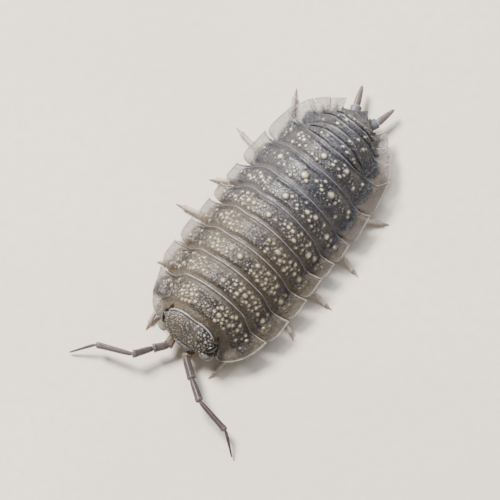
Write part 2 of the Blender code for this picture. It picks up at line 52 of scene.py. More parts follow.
# A plate's hind margin at the middle, at the foot of the vault and at the corner, then
# half its width at the corner, where the outer edge starts and at the widest place,
# and how squarely its front shoulder turns.
broadPlates = {
    "plate_1": (3.99, 3.62, 3.75, 4.80, 2.60, 4.80, 1.5),
    "plate_2": (5.97, 5.72, 5.98, 5.12, 3.85, 5.15, 5.0),
    "plate_3": (7.88, 7.72, 8.02, 5.18, 4.00, 5.25, 5.0),
    "plate_4": (9.90, 9.66, 9.95, 5.08, 4.10, 5.15, 5.0),
    "plate_5": (11.69, 11.2, 11.35, 5.12, 4.15, 5.15, 5.5),
    "plate_6": (13.5, 13.1, 13.15, 5.10, 4.20, 5.18, 9.0),
    "plate_7": (15.66, 15.5, 15.80, 4.96, 4.25, 5.20, 12.0),
    "plate_8": (17.52, 17.80, 18.70, 4.52, 4.10, 4.96, 12.0),
}
tailPlates = {
    "tail_1": (18.45, 17.95, 17.95, 2.62, 2.60, 2.62, 3.0),
    "tail_2": (19.10, 18.0, 18.0, 2.66, 2.60, 2.66, 3.0),
    "tail_3": (19.72, 19.35, 19.85, 3.78, 4.35, 4.46, 3.0),
    "tail_4": (20.30, 20.05, 20.88, 2.80, 3.65, 3.74, 3.0),
    "tail_5": (20.70, 20.75, 21.70, 1.84, 2.70, 2.80, 3.0),
}

# The back as a whole: (distance behind the forehead, value) for its height above
# the skirt's edge and for half the width of the vault.
backPlan = {
    "rimHeight": 1.35,
    "skirtSlope": 0.32,
    "vaultPower": 2.3,
    "foldSoftness": 0.5,
    "height": ((0.5, 1.7), (1.8, 2.25), (4.0, 2.75), (7.0, 3.05), (12.5, 3.05),
               (15.5, 2.8), (17.5, 2.5), (19.2, 2.0), (20.8, 1.25), (22.0, 0.65)),
    "halfWidth": ((0.6, 2.35), (1.8, 3.1), (3.2, 3.65), (6.0, 3.95), (12.5, 4.05),
                  (15.5, 3.85), (17.6, 3.3), (19.2, 2.6), (20.5, 2.0), (22.0, 1.3)),
}

# The animal isn't quite straight: (distance behind the forehead, share) for how far the
# fold and the tail lag on its right side, and how far the left side runs ahead.
pose = {
    "rightFold": ((3.0, 0.0), (5.7, 0.24), (7.7, 0.3), (9.7, 0.32), (11.3, 0.42), (13.1, 0.44), (15.0, 0.1)),
    "rightTail": ((13.0, 0.0), (15.0, 0.11), (17.0, 0.135), (21.5, 0.14)),
    "leftAhead": ((8.5, 0.0), (10.5, 0.06), (13.0, 0.06), (15.0, 0.0)),
    "rightNarrow": 0.055,
}

origin = Vector()
collection = bpy.data.collections.new("woodlouse")
bpy.context.scene.collection.children.link(collection)


def findOrigin():
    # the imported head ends 1.5 mm behind the forehead
    low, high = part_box("head")
    return Vector(((low.x + high.x) / 2, high.y - 1.5 * mm, 0.0))


# Shapes

def smooth(value):
    value = np.clip(value, 0.0, 1.0)
    return value * value * (3.0 - 2.0 * value)


def bell(value, middle, width):
    return np.exp(-((value - middle) / width) ** 2)


def readTable(table, at, blur=0.7):
    # a short table read with its corners rounded off
    places, values = zip(*table)
    offsets = np.linspace(-blur, blur, 7)
    return sum(np.interp(at + offset, places, values) for offset in offsets) / len(offsets)


def backHeight(x, y, edge):
    across = np.abs(x) / readTable(backPlan["halfWidth"], y)
    vault = readTable(backPlan["height"], y) * (1.0 - across ** backPlan["vaultPower"])
    skirt = backPlan["skirtSlope"] * np.maximum(0.0, edge - np.abs(x))
    soft = backPlan["foldSoftness"]
    near = np.clip(soft - np.abs(vault - skirt), 0.0, None) / soft
    return backPlan["rimHeight"] + np.maximum(vault, skirt) + near * near * soft * 0.25


def hindMargin(x, row):
    middle, dip, corner, halfWidth = row[:4]
    if dip == corner:
        # the first two tail plates have no corners, and their margins are plain arcs
        return middle + (dip - middle) * (np.abs(x) / halfWidth) ** 2.2
    foot = halfWidth * np.interp(middle, (8.0, 13.0, 18.5, 19.5), (0.74, 0.84, 0.84, 0.72))
    straight = halfWidth * np.interp(middle, (8.0, 13.0), (0.52, 0.44))
    inner = middle + (dip - middle) * smooth((np.abs(x) - straight) / (foot - straight))
    outer = dip + (corner - dip) * smooth(0.5 * (np.abs(x) - foot) / (halfWidth - foot)) * 2.0
    return np.where(np.abs(x) <= foot, inner, outer)


def posed(points, reach=None):
    # the whole animal's slight twist, laid over points drawn straight
    x, y = points[..., 0], points[..., 1]
    reach = np.abs(x) if reach is None else reach
    cornerFade = 1.0 - smooth((reach - 3.9) / 1.1)
    right = readTable(pose["rightFold"], y) * smooth((reach - 1.3) / 2.2) * cornerFade
    right = right + readTable(pose["rightTail"], y) * reach
    left = readTable(pose["leftAhead"], y) * reach * (1.0 - smooth((reach - 2.4) / 1.0))
    moved = points.copy()
    moved[..., 1] = y + np.where(x < 0, right, -left)
    moved[..., 0] = np.where(x < 0, x * (1.0 - pose["rightNarrow"] * smooth((4.6 - y) / 2.0)), x)
    return moved


def gridNormals(points):
    alongRow = np.gradient(points, axis=1)
    downRow = np.gradient(points, axis=0)
    normals = np.cross(alongRow, downRow)
    return normals / np.maximum(np.linalg.norm(normals, axis=2, keepdims=True), 1e-9)


markNames = ("wart", "rim", "pigment", "along", "skirt", "dark", "joint")


class Draft:
    # collects closed shapes in body millimetres, with marks for the materials to read
    def __init__(self):
        self.points = []
        self.faces = []
        self.marks = {name: [] for name in markNames}
        self.count = 0

    def add(self, points, faces, **marks):
        points = np.asarray(points, float).reshape(-1, 3)
        self.faces += [tuple(corner + self.count for corner in face) for face in faces]
        self.points.append(points)
        for name in markNames:
            values = np.broadcast_to(np.asarray(marks.get(name, 0.0), float), len(points))
            self.marks[name].append(values)
        self.count += len(points)

    def build(self, name, finish):
        mesh = bpy.data.meshes.new(name)
        points = np.concatenate(self.points) * mm + np.array(origin)
        mesh.from_pydata(points.tolist(), [], self.faces)
        turned = bmesh.new()
        turned.from_mesh(mesh)
        bmesh.ops.recalc_face_normals(turned, faces=turned.faces)   # every face looks outwards
        turned.to_mesh(mesh)
        turned.free()
        for markName, parts in self.marks.items():
            values = np.concatenate(parts)
            if values.any():
                layer = mesh.attributes.new(markName, "FLOAT", "POINT")
                layer.data.foreach_set("value", values.astype(np.float32))
        mesh.materials.append(finish)
        mesh.shade_smooth()
        piece = bpy.data.objects.new(name, mesh)
        collection.objects.link(piece)
        return piece


def settle(piece, slotName, *nodes):
    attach(piece, "root")
    if nodes:
        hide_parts(*nodes)
    return piece


def ringFaces(rings, around):
    # faces of a tube of rings, closed at both ends
    faces = []
    for ring in range(rings - 1):
        for step in range(around):
            a = ring * around + step
            b = ring * around + (step + 1) % around
            faces.append((a, b, b + around, a + around))
    faces.append(tuple(reversed(range(around))))
    faces.append(tuple(range((rings - 1) * around, rings * around)))
    return faces


def tubeRings(path, radii, around, ridges=0, ridgeDepth=0.0, flatten=1.0):
    # rings set square to a path, carried along without twisting
    path = np.asarray(path, float)
    steps = np.gradient(path, axis=0)
    steps /= np.linalg.norm(steps, axis=1, keepdims=True)
    side = np.cross(steps[0], (0.0, 0.0, 1.0))
    side /= np.linalg.norm(side)
    angles = np.linspace(0, 2 * math.pi, around, endpoint=False)
    swell = 1.0 + ridgeDepth * np.cos(ridges * angles)
    rings = []
    for place, step, radius in zip(path, steps, radii):
        side = side - step * side.dot(step)
        side /= np.linalg.norm(side)
        up = np.cross(side, step)
        wide = np.outer(np.cos(angles) * swell, side)
        tall = np.outer(np.sin(angles) * swell * flatten, up)
        rings.append(place + radius * (wide + tall))
    return np.array(rings)


# Materials

def tone(red, green, blue):
    # a colour as it looks on screen, turned into the linear values that nodes use
    linear = []
    for value in (red, green, blue):
        value /= 255.0
        linear.append(value / 12.92 if value <= 0.04045 else ((value + 0.055) / 1.055) ** 2.4)
    return (*linear, 1.0)


class Wiring:
    # short ways to set down shader nodes and join them up
    def __init__(self, tree):
        self.tree = tree
        self.column = 0

    def node(self, kind, **settings):
        made = self.tree.nodes.new(kind)
        self.column += 1
        made.location = (self.column % 12 * 190, -(self.column // 12) * 260)
        for name, value in settings.items():
            setattr(made, name, value)
        return made

    def put(self, socket, value):
        if isinstance(value, bpy.types.NodeSocket):
            self.tree.links.new(value, socket)
        else:
            socket.default_value = value

    def mix(self, factor, first, second, blend="MIX"):
        made = self.node("ShaderNodeMix", data_type="RGBA", blend_type=blend)
        self.put(made.inputs[0], factor)
        self.put(made.inputs[6], first)
        self.put(made.inputs[7], second)
        return made.outputs[2]

    def math(self, operation, first, second=0.0, clamp=False):
        made = self.node("ShaderNodeMath", operation=operation, use_clamp=clamp)
        self.put(made.inputs[0], first)
        self.put(made.inputs[1], second)
        return made.outputs[0]

    def span(self, value, low, high, start=0.0, end=1.0):
        made = self.node("ShaderNodeMapRange", interpolation_type="SMOOTHSTEP")
        for name, part in zip(("Value", "From Min", "From Max", "To Min", "To Max"),
                              (value, low, high, start, end)):
            self.put(made.inputs[name], part)
        return made.outputs[0]

    def noise(self, vector, scale, detail=3.0, distortion=0.0):
        made = self.node("ShaderNodeTexNoise")
        self.put(made.inputs["Vector"], vector)
        self.put(made.inputs["Scale"], scale)
        made.inputs["Detail"].default_value = detail
        made.inputs["Distortion"].default_value = distortion
        return made.outputs["Fac"]

    def cells(self, vector, scale):
        made = self.node("ShaderNodeTexVoronoi")
        self.put(made.inputs["Vector"], vector)
        self.put(made.inputs["Scale"], scale)
        return made.outputs["Distance"]

    def mark(self, name):
        return self.node("ShaderNodeAttribute", attribute_name=name).outputs["Fac"]

    def stretched(self, vector, factors):
        made = self.node("ShaderNodeVectorMath", operation="MULTIPLY")
        self.put(made.inputs[0], vector)
        made.inputs[1].default_value = factors
        return made.outputs[0]

    def millimetres(self):
        return self.stretched(self.node("ShaderNodeTexCoord").outputs["Object"], (1000.0, 1000.0, 1000.0))

    def group(self, name, **values):
        made = self.node("ShaderNodeGroup")
        made.node_tree = bpy.data.node_groups[name]
        for label, value in values.items():
            self.put(made.inputs[label], value)
        return made.outputs


def newGroup(name, inputs, outputs):
    tree = bpy.data.node_groups.new(name, "ShaderNodeTree")
    for label, kind, value in inputs:
        socket = tree.interface.new_socket(name=label, in_out="INPUT", socket_type=kind)
        if value is not None:
            socket.default_value = value
    for label, kind in outputs:
        tree.interface.new_socket(name=label, in_out="OUTPUT", socket_type=kind)
    wiring = Wiring(tree)
    return wiring, wiring.node("NodeGroupInput").outputs, wiring.node("NodeGroupOutput").inputs


number, colour, vector = "NodeSocketFloat", "NodeSocketColor", "NodeSocketVector"


def makePatches():
    # ragged islands of pigment, Size in millimetres
    wiring, given, out = newGroup(
        "pigmentPatches",
        [("Vector", vector, None), ("Size", number, 1.0), ("Cover", number, 0.5), ("Edge", number, 0.1)],
        [("Mask", number)])
    scale = wiring.math("DIVIDE", 1.0, given["Size"])
    field = wiring.noise(given["Vector"], scale, 4.0, 0.6)
    middle = wiring.math("SUBTRACT", 1.0, given["Cover"])
    low = wiring.math("SUBTRACT", middle, given["Edge"])
    high = wiring.math("ADD", middle, given["Edge"])
    wiring.put(out["Mask"], wiring.span(field, low, high))


def makeGrain():
    # pinhead roughness of a shell: tiny domes over a soft unevenness
    wiring, given, out = newGroup(
        "shellGrain",
        [("Vector", vector, None), ("Size", number, 0.1), ("Domes", number, 0.6)],
        [("Height", number), ("Shade", number)])
    scale = wiring.math("DIVIDE", 1.0, given["Size"])
    domes = wiring.span(wiring.cells(given["Vector"], scale), 0.05, 0.55, 1.0, 0.0)
    uneven = wiring.noise(given["Vector"], wiring.math("MULTIPLY", scale, 0.35), 3.0)
    raised = wiring.math("MULTIPLY", domes, given["Domes"])
    wiring.put(out["Height"], wiring.math("ADD", raised, uneven))
    wiring.put(out["Shade"], wiring.span(uneven, 0.3, 0.7))


def makeWartPaint():
    # ivory domes, paler and glossier towards their tops
    wiring, given, out = newGroup(
        "wartPaint",
        [("Color", colour, tone(120, 112, 104)), ("Wart", number, 0.0), ("Vector", vector, None),
         ("Ivory", colour, tone(238, 230, 210)), ("Foot", colour, tone(176, 164, 146)),
         ("Roughness", number, 0.45)],
        [("Color", colour), ("Roughness", number), ("Gloss", number)])
    cream = wiring.noise(given["Vector"], 1.3, 2.0)
    ivory = wiring.mix(wiring.span(cream, 0.35, 0.65, 0.0, 0.35), given["Ivory"], given["Foot"])
    foot = wiring.span(given["Wart"], 0.02, 0.4)
    top = wiring.span(given["Wart"], 0.38, 0.96)
    painted = wiring.mix(foot, given["Color"], given["Foot"])
    wiring.put(out["Color"], wiring.mix(top, painted, ivory))
    smoother = wiring.math("MULTIPLY", top, 0.18)
    wiring.put(out["Roughness"], wiring.math("SUBTRACT", given["Roughness"], smoother))
    wiring.put(out["Gloss"], wiring.math("MULTIPLY", foot, 0.8))


def makeRimAndSheenPaint():
    # the thin pale line along a free edge, broken here and there, and on the shell plates the painted sheen that shares
    # the rim mark
    wiring, given, out = newGroup(
        "rimAndSheenPaint",
        [("Color", colour, tone(120, 112, 104)), ("Rim", number, 0.0), ("Vector", vector, None),
         ("Pale", colour, tone(205, 212, 224)), ("Strength", number, 0.85)],
        [("Color", colour)])
    broken = wiring.span(wiring.noise(given["Vector"], 2.2, 3.0), 0.3, 0.65, 0.4, 1.0)
    line = wiring.math("MULTIPLY", wiring.span(given["Rim"], 0.2, 0.9), broken)
    shown = wiring.math("MULTIPLY", line, given["Strength"])
    wiring.put(out["Color"], wiring.mix(shown, given["Color"], given["Pale"]))


def newFinish(name, look):
    # a material with its plain settings, its wiring and its shader
    finish = bpy.data.materials.new(name)
    finish.use_nodes = True
    wiring = Wiring(finish.node_tree)
    shader = finish.node_tree.nodes["Principled BSDF"]
    shader.inputs["Subsurface Weight"].default_value = look.get("glow", 0.0)
    shader.inputs["Subsurface Radius"].default_value = (1.0, 0.75, 0.55)
    shader.inputs["Subsurface Scale"].default_value = look.get("glowDepth", 0.3) * mm
    shader.inputs["Specular IOR Level"].default_value = look.get("shine", 0.5)
    shader.inputs["Coat Roughness"].default_value = look.get("coatRoughness", 0.25)
    return finish, wiring, shader


def addBump(wiring, shader, height, depth, strength=1.0):
    bump = wiring.node("ShaderNodeBump")
    bump.inputs["Distance"].default_value = depth * mm
    bump.inputs["Strength"].default_value = strength
    wiring.put(bump.inputs["Height"], height)
    wiring.put(shader.inputs["Normal"], bump.outputs[0])


shellLook = {
    # each colour for the front plates, then for the rear ones
    "base": (tone(90, 80, 70), tone(91, 91, 97)),
    # the band colour is the band's own brown, darkened with painted shade from the previous plate's hind margin
    "bandAndShade": (tone(73, 62, 49), tone(78, 75, 76)),
    "hind": (tone(83, 73, 62), tone(84, 82, 88)),
    "pigment": (tone(36, 32, 33), tone(44, 44, 51)),
    "skirt": (tone(122, 110, 96), tone(116, 106, 96)),
    "foot": (tone(128, 115, 96), tone(118, 112, 103)),
    "ivory": (tone(200, 184, 152), tone(224, 210, 178)),
    # the pale bluish colour of the rims, also the colour of the painted sheen on the hind bands
    "pale": tone(178, 181, 190),
    "skirtRim": tone(214, 210, 203),
    "tailSkirt": tone(176, 165, 155),
    "rimStrength": (0.75, 0.5),
    "clearness": 0.5,      # how much shows through the thinnest part of a skirt
    "sheen": 0.1,          # wet-looking gloss of the dark rear plates
    "patchSize": 0.5,
    "speckSize": 0.16,
    "dotSize": 0.17,
    "freckles": 3.4,
    "grainSize": 0.075,
    "grainDepth": 0.028,
    "roughness": 0.44,
    "glow": 0.2,
    "glowDepth": 0.25,
    "shine": 0.5,
}


shellTints = ("base", "bandAndShade", "hind", "pigment", "skirt", "foot", "ivory")


def makeShellFinish(name, look):
    finish, wiring, shader = newFinish(name, look)
    place = wiring.millimetres()
    marks = {markName: wiring.mark(markName) for markName in markNames}
    dark = marks["dark"]
    tint = {key: wiring.mix(dark, *look[key]) for key in shellTints}
    grain = wiring.group("shellGrain", Vector=place, Size=look["grainSize"], Domes=0.5)
    patches = wiring.group("pigmentPatches", Vector=place, Size=look["patchSize"], Cover=0.5, Edge=0.08)
    specks = wiring.group("pigmentPatches", Vector=place, Size=look["speckSize"], Cover=0.46, Edge=0.06)
    # the band just behind the previous plate's hind margin is painted darker: partly its own brown, partly painted
    # shade under that margin
    frontBandAndShade = wiring.span(marks["along"], 0.12, 0.26, 1.0, 0.0)
    hindBand = wiring.span(marks["along"], 0.8, 0.9)
    colour1 = wiring.mix(frontBandAndShade, tint["base"], tint["bandAndShade"])
    colour1 = wiring.mix(hindBand, colour1, tint["hind"])
    # the dark ground breaks up into freckles where the skirt begins
    ragged = wiring.math("SUBTRACT", wiring.noise(place, look["freckles"], 3.0), 0.5)
    ragged = wiring.math("MULTIPLY", ragged, wiring.span(marks["skirt"], 0.0, 0.12, 0.0, 1.7))
    skirt = wiring.span(wiring.math("ADD", marks["skirt"], ragged), 0.2, 0.75)
    clear = wiring.mix(marks["joint"], tint["skirt"], look["tailSkirt"])
    colour2 = wiring.mix(skirt, colour1, clear)
    # dark pigment: islands, specks and streaks that run from front to back
    runs = wiring.group("pigmentPatches", Vector=wiring.stretched(place, (2.6, 0.9, 1.3)), Size=0.42,
                        Cover=0.5, Edge=0.06)
    broad = wiring.math("MAXIMUM", wiring.math("MULTIPLY", patches["Mask"], 0.65),
                        wiring.math("MULTIPLY", runs["Mask"], 0.75))
    mottled = wiring.math("ADD", broad, wiring.math("MULTIPLY", specks["Mask"], 0.4), clamp=True)
    deep = wiring.span(marks["pigment"], 0.55, 1.0, 0.0, 0.55)
    # on the head and its left lobe the pigment mark also holds painted shade
    stainAndShade = wiring.math("ADD", wiring.math("MULTIPLY", mottled, marks["pigment"]), deep, clamp=True)
    # pinhead dots, paler than the ground round them
    dots = wiring.span(wiring.cells(place, 1.0 / look["dotSize"]), 0.1, 0.34, 1.0, 0.0)
    dots = wiring.math("MULTIPLY", dots, wiring.span(skirt, 0.0, 1.0, 1.0, 0.2))
    stainAndShade = wiring.math("SUBTRACT", stainAndShade, wiring.math("MULTIPLY", dots, 0.5), clamp=True)
    colour2 = wiring.mix(stainAndShade, colour2, tint["pigment"])
    colour2 = wiring.mix(wiring.math("MULTIPLY", dots, 0.5), colour2, tint["foot"])
    veil = wiring.noise(wiring.stretched(place, (1.2, 7.0, 2.0)), 1.6, 3.0)
    veil = wiring.math("ADD", wiring.span(veil, 0.35, 0.7, 0.0, 0.35), wiring.math("MULTIPLY", broad, 0.3))
    colour2 = wiring.mix(wiring.math("MULTIPLY", veil, skirt), colour2, tint["pigment"])
    shadeDown = wiring.span(grain["Shade"], 0.0, 1.0, 0.78, 1.1)
    colour3 = wiring.mix(1.0, colour2, shadeDown, "MULTIPLY")
    warts = wiring.group("wartPaint", Color=colour3, Wart=marks["wart"], Vector=place,
                         Ivory=tint["ivory"], Foot=tint["foot"], Roughness=look["roughness"])
    strength = wiring.span(dark, 0.0, 1.0, *look["rimStrength"])
    pale = wiring.mix(skirt, look["pale"], look["skirtRim"])
    # the rim mark brings in the pale rims and the painted sheen of the hind bands
    rimmed = wiring.group("rimAndSheenPaint", Color=warts["Color"], Rim=marks["rim"], Vector=place,
                          Pale=pale, Strength=strength)
    wiring.put(shader.inputs["Base Color"], rimmed["Color"])
    wiring.put(shader.inputs["Roughness"], wiring.math("SUBTRACT", warts["Roughness"],
                                                       wiring.math("MULTIPLY", dark, 0.08)))
    sheen = wiring.math("MULTIPLY", dark, look["sheen"])
    wiring.put(shader.inputs["Coat Weight"], wiring.math("MAXIMUM", warts["Gloss"], sheen))
    thin = wiring.math("MINIMUM", skirt, marks["skirt"])
    solid = wiring.span(thin, 0.1, 1.0, 1.0, 1.0 - look["clearness"])
    solid = wiring.math("MAXIMUM", solid, wiring.math("MULTIPLY", stainAndShade, 0.9))
    wiring.put(shader.inputs["Alpha"], wiring.math("MAXIMUM", solid, marks["rim"]))
    bumps = wiring.math("ADD", grain["Height"], dots)
    addBump(wiring, shader, bumps, look["grainDepth"])
    return finish


limbLook = {
    "feeler": {"rootEnd": 0.13, "root": tone(134, 113, 90), "shaft": tone(72, 61, 60), "tip": tone(56, 47, 47),
               "pale": tone(122, 111, 108), "mottle": tone(44, 37, 38)},
    "leg": {"rootEnd": 0.25, "root": tone(164, 151, 138), "shaft": tone(172, 159, 148), "tip": tone(156, 136, 118),
            "pale": tone(192, 181, 169), "mottle": tone(140, 126, 115)},
    "uropod": {"rootEnd": 0.25, "root": tone(88, 87, 92), "shaft": tone(104, 93, 90), "tip": tone(124, 112, 106),
               "pale": tone(156, 157, 163), "mottle": tone(68, 62, 64)},
}


def makeLimbFinish(name, look):
    finish, wiring, shader = newFinish(name, {"glow": 0.3, "glowDepth": 0.3, "shine": 0.5})
    place = wiring.millimetres()
    along, joint, rim = wiring.mark("along"), wiring.mark("joint"), wiring.mark("rim")
    grain = wiring.group("shellGrain", Vector=place, Size=0.06, Domes=0.35)
    patches = wiring.group("pigmentPatches", Vector=place, Size=0.35, Cover=0.42, Edge=0.1)
    tinted = wiring.mix(wiring.span(along, 0.02, look["rootEnd"]), look["root"], look["shaft"])
    tinted = wiring.mix(wiring.span(along, 0.72, 1.0), tinted, look["tip"])
    tinted = wiring.mix(wiring.math("MULTIPLY", patches["Mask"], 0.5), tinted, look["mottle"])
    tinted = wiring.mix(wiring.math("MULTIPLY", joint, 0.5), tinted, look["pale"])
    rimmed = wiring.group("rimAndSheenPaint", Color=tinted, Rim=rim, Vector=place, Pale=look["pale"], Strength=0.6)
    wiring.put(shader.inputs["Base Color"], rimmed["Color"])
    wiring.put(shader.inputs["Roughness"], wiring.span(grain["Shade"], 0.0, 1.0, 0.36, 0.52))
    addBump(wiring, shader, grain["Height"], 0.012)
    return finish


def makeEyeFinish():
    finish, wiring, shader = newFinish("eyeBlack", {"shine": 0.4, "coatRoughness": 0.1})
    place = wiring.millimetres()
    patches = wiring.group("pigmentPatches", Vector=place, Size=0.1, Cover=0.5, Edge=0.2)
    tinted = wiring.mix(patches["Mask"], tone(9, 9, 12), tone(26, 26, 34))
    wiring.put(shader.inputs["Base Color"], tinted)
    wiring.put(shader.inputs["Roughness"], wiring.span(patches["Mask"], 0.0, 1.0, 0.16, 0.28))
    shader.inputs["Coat Weight"].default_value = 0.1
    return finish


def makeBellyFinish():
    finish, wiring, shader = newFinish("bellySkin", {"glow": 0.35, "glowDepth": 0.5})
    place = wiring.millimetres()
    grain = wiring.group("shellGrain", Vector=place, Size=0.14, Domes=0.3)
    patches = wiring.group("pigmentPatches", Vector=place, Size=0.9, Cover=0.45, Edge=0.15)
    tinted = wiring.mix(patches["Mask"], tone(138, 124, 108), tone(100, 88, 76))
    tinted = wiring.mix(wiring.mark("joint"), tinted, tone(70, 58, 50))
    wiring.put(shader.inputs["Base Color"], tinted)
    wiring.put(shader.inputs["Roughness"], wiring.span(grain["Shade"], 0.0, 1.0, 0.42, 0.6))
    addBump(wiring, shader, grain["Height"], 0.03)
    return finish


def makeFloorFinish():
    finish, wiring, shader = newFinish("paleFloor", {"shine": 0.25})
    place = wiring.millimetres()
    broad = wiring.noise(place, 0.05, 4.0)
    fine = wiring.noise(place, 1.4, 5.0)
    tinted = wiring.mix(wiring.span(broad, 0.3, 0.7), tone(236, 227, 212), tone(230, 220, 204))
    tinted = wiring.mix(wiring.span(fine, 0.4, 0.75, 0.0, 0.2), tinted, tone(210, 198, 180))
    wiring.put(shader.inputs["Base Color"], tinted)
    wiring.put(shader.inputs["Roughness"], wiring.span(fine, 0.3, 0.7, 0.7, 0.85))
    addBump(wiring, shader, fine, 0.05, 0.5)
    return finish


# Shell plates

shellPlan = {
    "columns": 290,
    "rows": 60,
    "tuckRows": 8,
    "undersideStep": 6,
    "tuck": 0.45,          # a plate runs on this far under the one before it
    "tuckDrop": 0.16,
    "skirtFrom": 0.77,     # the clear skirt begins this far out, as a share of the half width
    "slot": 0.2,           # the dark gap before a skirt's front edge
    "lift": 0.26,          # how far the hind margin stands up
    "thickness": 0.13,
    "edgeThickness": 0.07,
    "beltHeight": 0.14,    # the warty belt bulges this much
    "groove": 0.035,       # the dip between the belt and the hind rim
    "rimBead": 0.04,
    "rimWidth": 0.062,
}

wartPlan = {
    "seed": 23,
    # how far across, how far along, radius
    "main": ((0.36, 0.56, 0.25), (0.47, 0.38, 0.21), (0.70, 0.46, 0.28), (0.86, 0.5, 0.13)),
    "clusters": (0.2, 0.34, 0.42, 0.5, 0.6),
    "clusterSpread": 0.06,
    "belt": (0.2, 0.8),
    # how many on a front plate and on a rear one, least and greatest radius
    "medium": ((30, 12), 0.12, 0.17),
    "small": ((50, 26), 0.07, 0.1),
    "tiny": ((120, 110), 0.035, 0.055),
    "tallness": 0.6,
    "roundness": 0.85,
    "softness": 1.7,       # how quickly a wart's pale top fades towards its foot
}


# the warts that stand out most: distance to the left, behind the forehead, radius
largeWarts = {
    "plate_1": ((-1.10, 2.89, 0.21), (-0.96, 2.40, 0.16), (1.27, 2.82, 0.21), (1.22, 2.37, 0.16),
                (1.99, 3.32, 0.16), (-2.75, 3.50, 0.15), (-1.71, 3.27, 0.15), (-3.41, 3.22, 0.18),
                (3.30, 3.17, 0.16), (1.84, 2.88, 0.12)),
    "plate_2": ((1.82, 5.06, 0.21), (1.36, 4.76, 0.18), (2.24, 5.35, 0.16), (2.11, 4.75, 0.16),
                (-1.52, 4.76, 0.18), (-2.33, 5.40, 0.13), (0.06, 4.91, 0.22), (3.60, 4.76, 0.26),
                (4.23, 4.84, 0.11), (3.06, 4.81, 0.18), (3.62, 5.33, 0.14), (-3.85, 4.82, 0.22)),
    "plate_3": ((0.0, 6.98, 0.28), (-0.81, 7.07, 0.15), (1.34, 7.25, 0.19), (2.14, 7.34, 0.18),
                (1.75, 7.02, 0.13), (3.75, 6.67, 0.28), (3.77, 7.24, 0.14), (4.42, 6.93, 0.11),
                (-4.37, 6.85, 0.22)),
    "plate_4": ((1.77, 8.96, 0.25), (2.23, 9.15, 0.15), (2.41, 8.78, 0.15), (2.75, 8.64, 0.15),
                (3.74, 8.78, 0.28), (4.35, 8.99, 0.11), (-4.35, 8.67, 0.21), (-1.79, 9.02, 0.14),
                (-2.30, 9.30, 0.13)),
    "plate_5": ((-0.26, 10.68, 0.27), (0.33, 10.67, 0.14), (1.32, 10.85, 0.19), (3.69, 10.65, 0.26),
                (4.54, 10.61, 0.14), (-4.43, 10.92, 0.22), (-2.11, 10.90, 0.25), (-3.62, 10.99, 0.13)),
    "plate_6": ((-2.50, 12.92, 0.24), (-1.98, 12.62, 0.16), (-0.16, 12.54, 0.31), (1.55, 12.14, 0.14),
                (2.22, 12.73, 0.22), (2.05, 12.24, 0.16), (2.35, 12.05, 0.14), (3.74, 12.44, 0.21), (4.42, 12.32, 0.20),
                (-4.32, 12.82, 0.22)),
    "plate_7": ((-2.34, 14.95, 0.31), (-0.06, 14.63, 0.38), (0.26, 14.34, 0.20), (0.84, 14.79, 0.16),
                (2.08, 14.75, 0.30), (1.42, 14.54, 0.16), (-2.12, 14.41, 0.14), (-1.35, 14.67, 0.11),
                (-4.10, 15.21, 0.2), (3.53, 14.89, 0.22), (2.66, 14.89, 0.14)),
    "plate_8": ((0.11, 16.64, 0.30), (-1.77, 16.94, 0.22), (-2.47, 16.45, 0.17), (-1.78, 16.37, 0.16),
                (-1.37, 16.55, 0.16), (1.85, 16.85, 0.24), (0.95, 16.56, 0.17), (1.74, 16.22, 0.16),
                (1.41, 16.59, 0.14), (3.09, 17.13, 0.17), (-3.32, 17.44, 0.17), (-2.33, 17.42, 0.13)),
    "tail_1": ((-1.15, 18.10, 0.15), (-0.67, 18.15, 0.13), (0.64, 18.18, 0.16), (1.08, 18.02, 0.15)),
    "tail_2": ((0.72, 18.84, 0.16), (-0.59, 18.97, 0.08)),
    "tail_3": ((-1.84, 19.21, 0.14), (-0.77, 19.45, 0.18), (1.04, 19.38, 0.16), (1.63, 19.08, 0.16)),
    "tail_4": ((-0.47, 20.09, 0.18), (1.17, 19.94, 0.13), (2.15, 19.51, 0.13)),
    "tail_5": ((-0.12, 20.58, 0.13), (-0.96, 20.46, 0.1), (1.40, 20.43, 0.09)),
}


def evenSides(surface, count):
    # places across a plate, the same distance apart over its curve
    trial = np.linspace(-1.0, 1.0, 801)
    line = surface(trial[None, :], np.array([[0.7]]))[0]
    steps = np.linalg.norm(np.diff(line, axis=0), axis=1)
    length = np.concatenate(([0.0], np.cumsum(steps)))
    return np.interp(np.linspace(0.0, length[-1], count), length, trial)


def plateSurface(row, startLine, lower=0.0, droop=0.0, tuckUnder=None, lift=shellPlan["lift"]):
    _, _, _, cornerWidth, startWidth, widest, shoulder = row

    def surface(side, station):
        inside = np.clip(station, 0.0, 1.0)
        under = np.clip(-station, 0.0, 1.0)
        straightEdge = startWidth + (cornerWidth - startWidth) * inside
        edge = startWidth + (widest - startWidth) * (1 - (1 - inside) ** shoulder) ** 0.5
        edge = edge - (widest - cornerWidth) * inside ** 1.5
        across = np.abs(side * startWidth)
        start = startLine(side * startWidth)
        if tuckUnder is None:
            tuck = shellPlan["tuck"] * (1.0 - 0.85 * smooth((across - 3.3) / 0.5))
            start = start + shellPlan["slot"] * smooth((across - 3.55) / 0.45)
        else:
            tuck = shellPlan["tuck"] * tuckUnder(across)
        x = side * (straightEdge + (edge - straightEdge) * np.abs(side) ** 3)
        y = start + (hindMargin(side * cornerWidth, row) - start) * inside - tuck * under
        z = backHeight(x, y, edge) + lift * inside ** 2
        z = z - shellPlan["tuckDrop"] * under ** 2 - lower - droop * side ** 4
        return posed(np.stack(np.broadcast_arrays(x, y, z), axis=-1), np.abs(side) * straightEdge)

    return surface


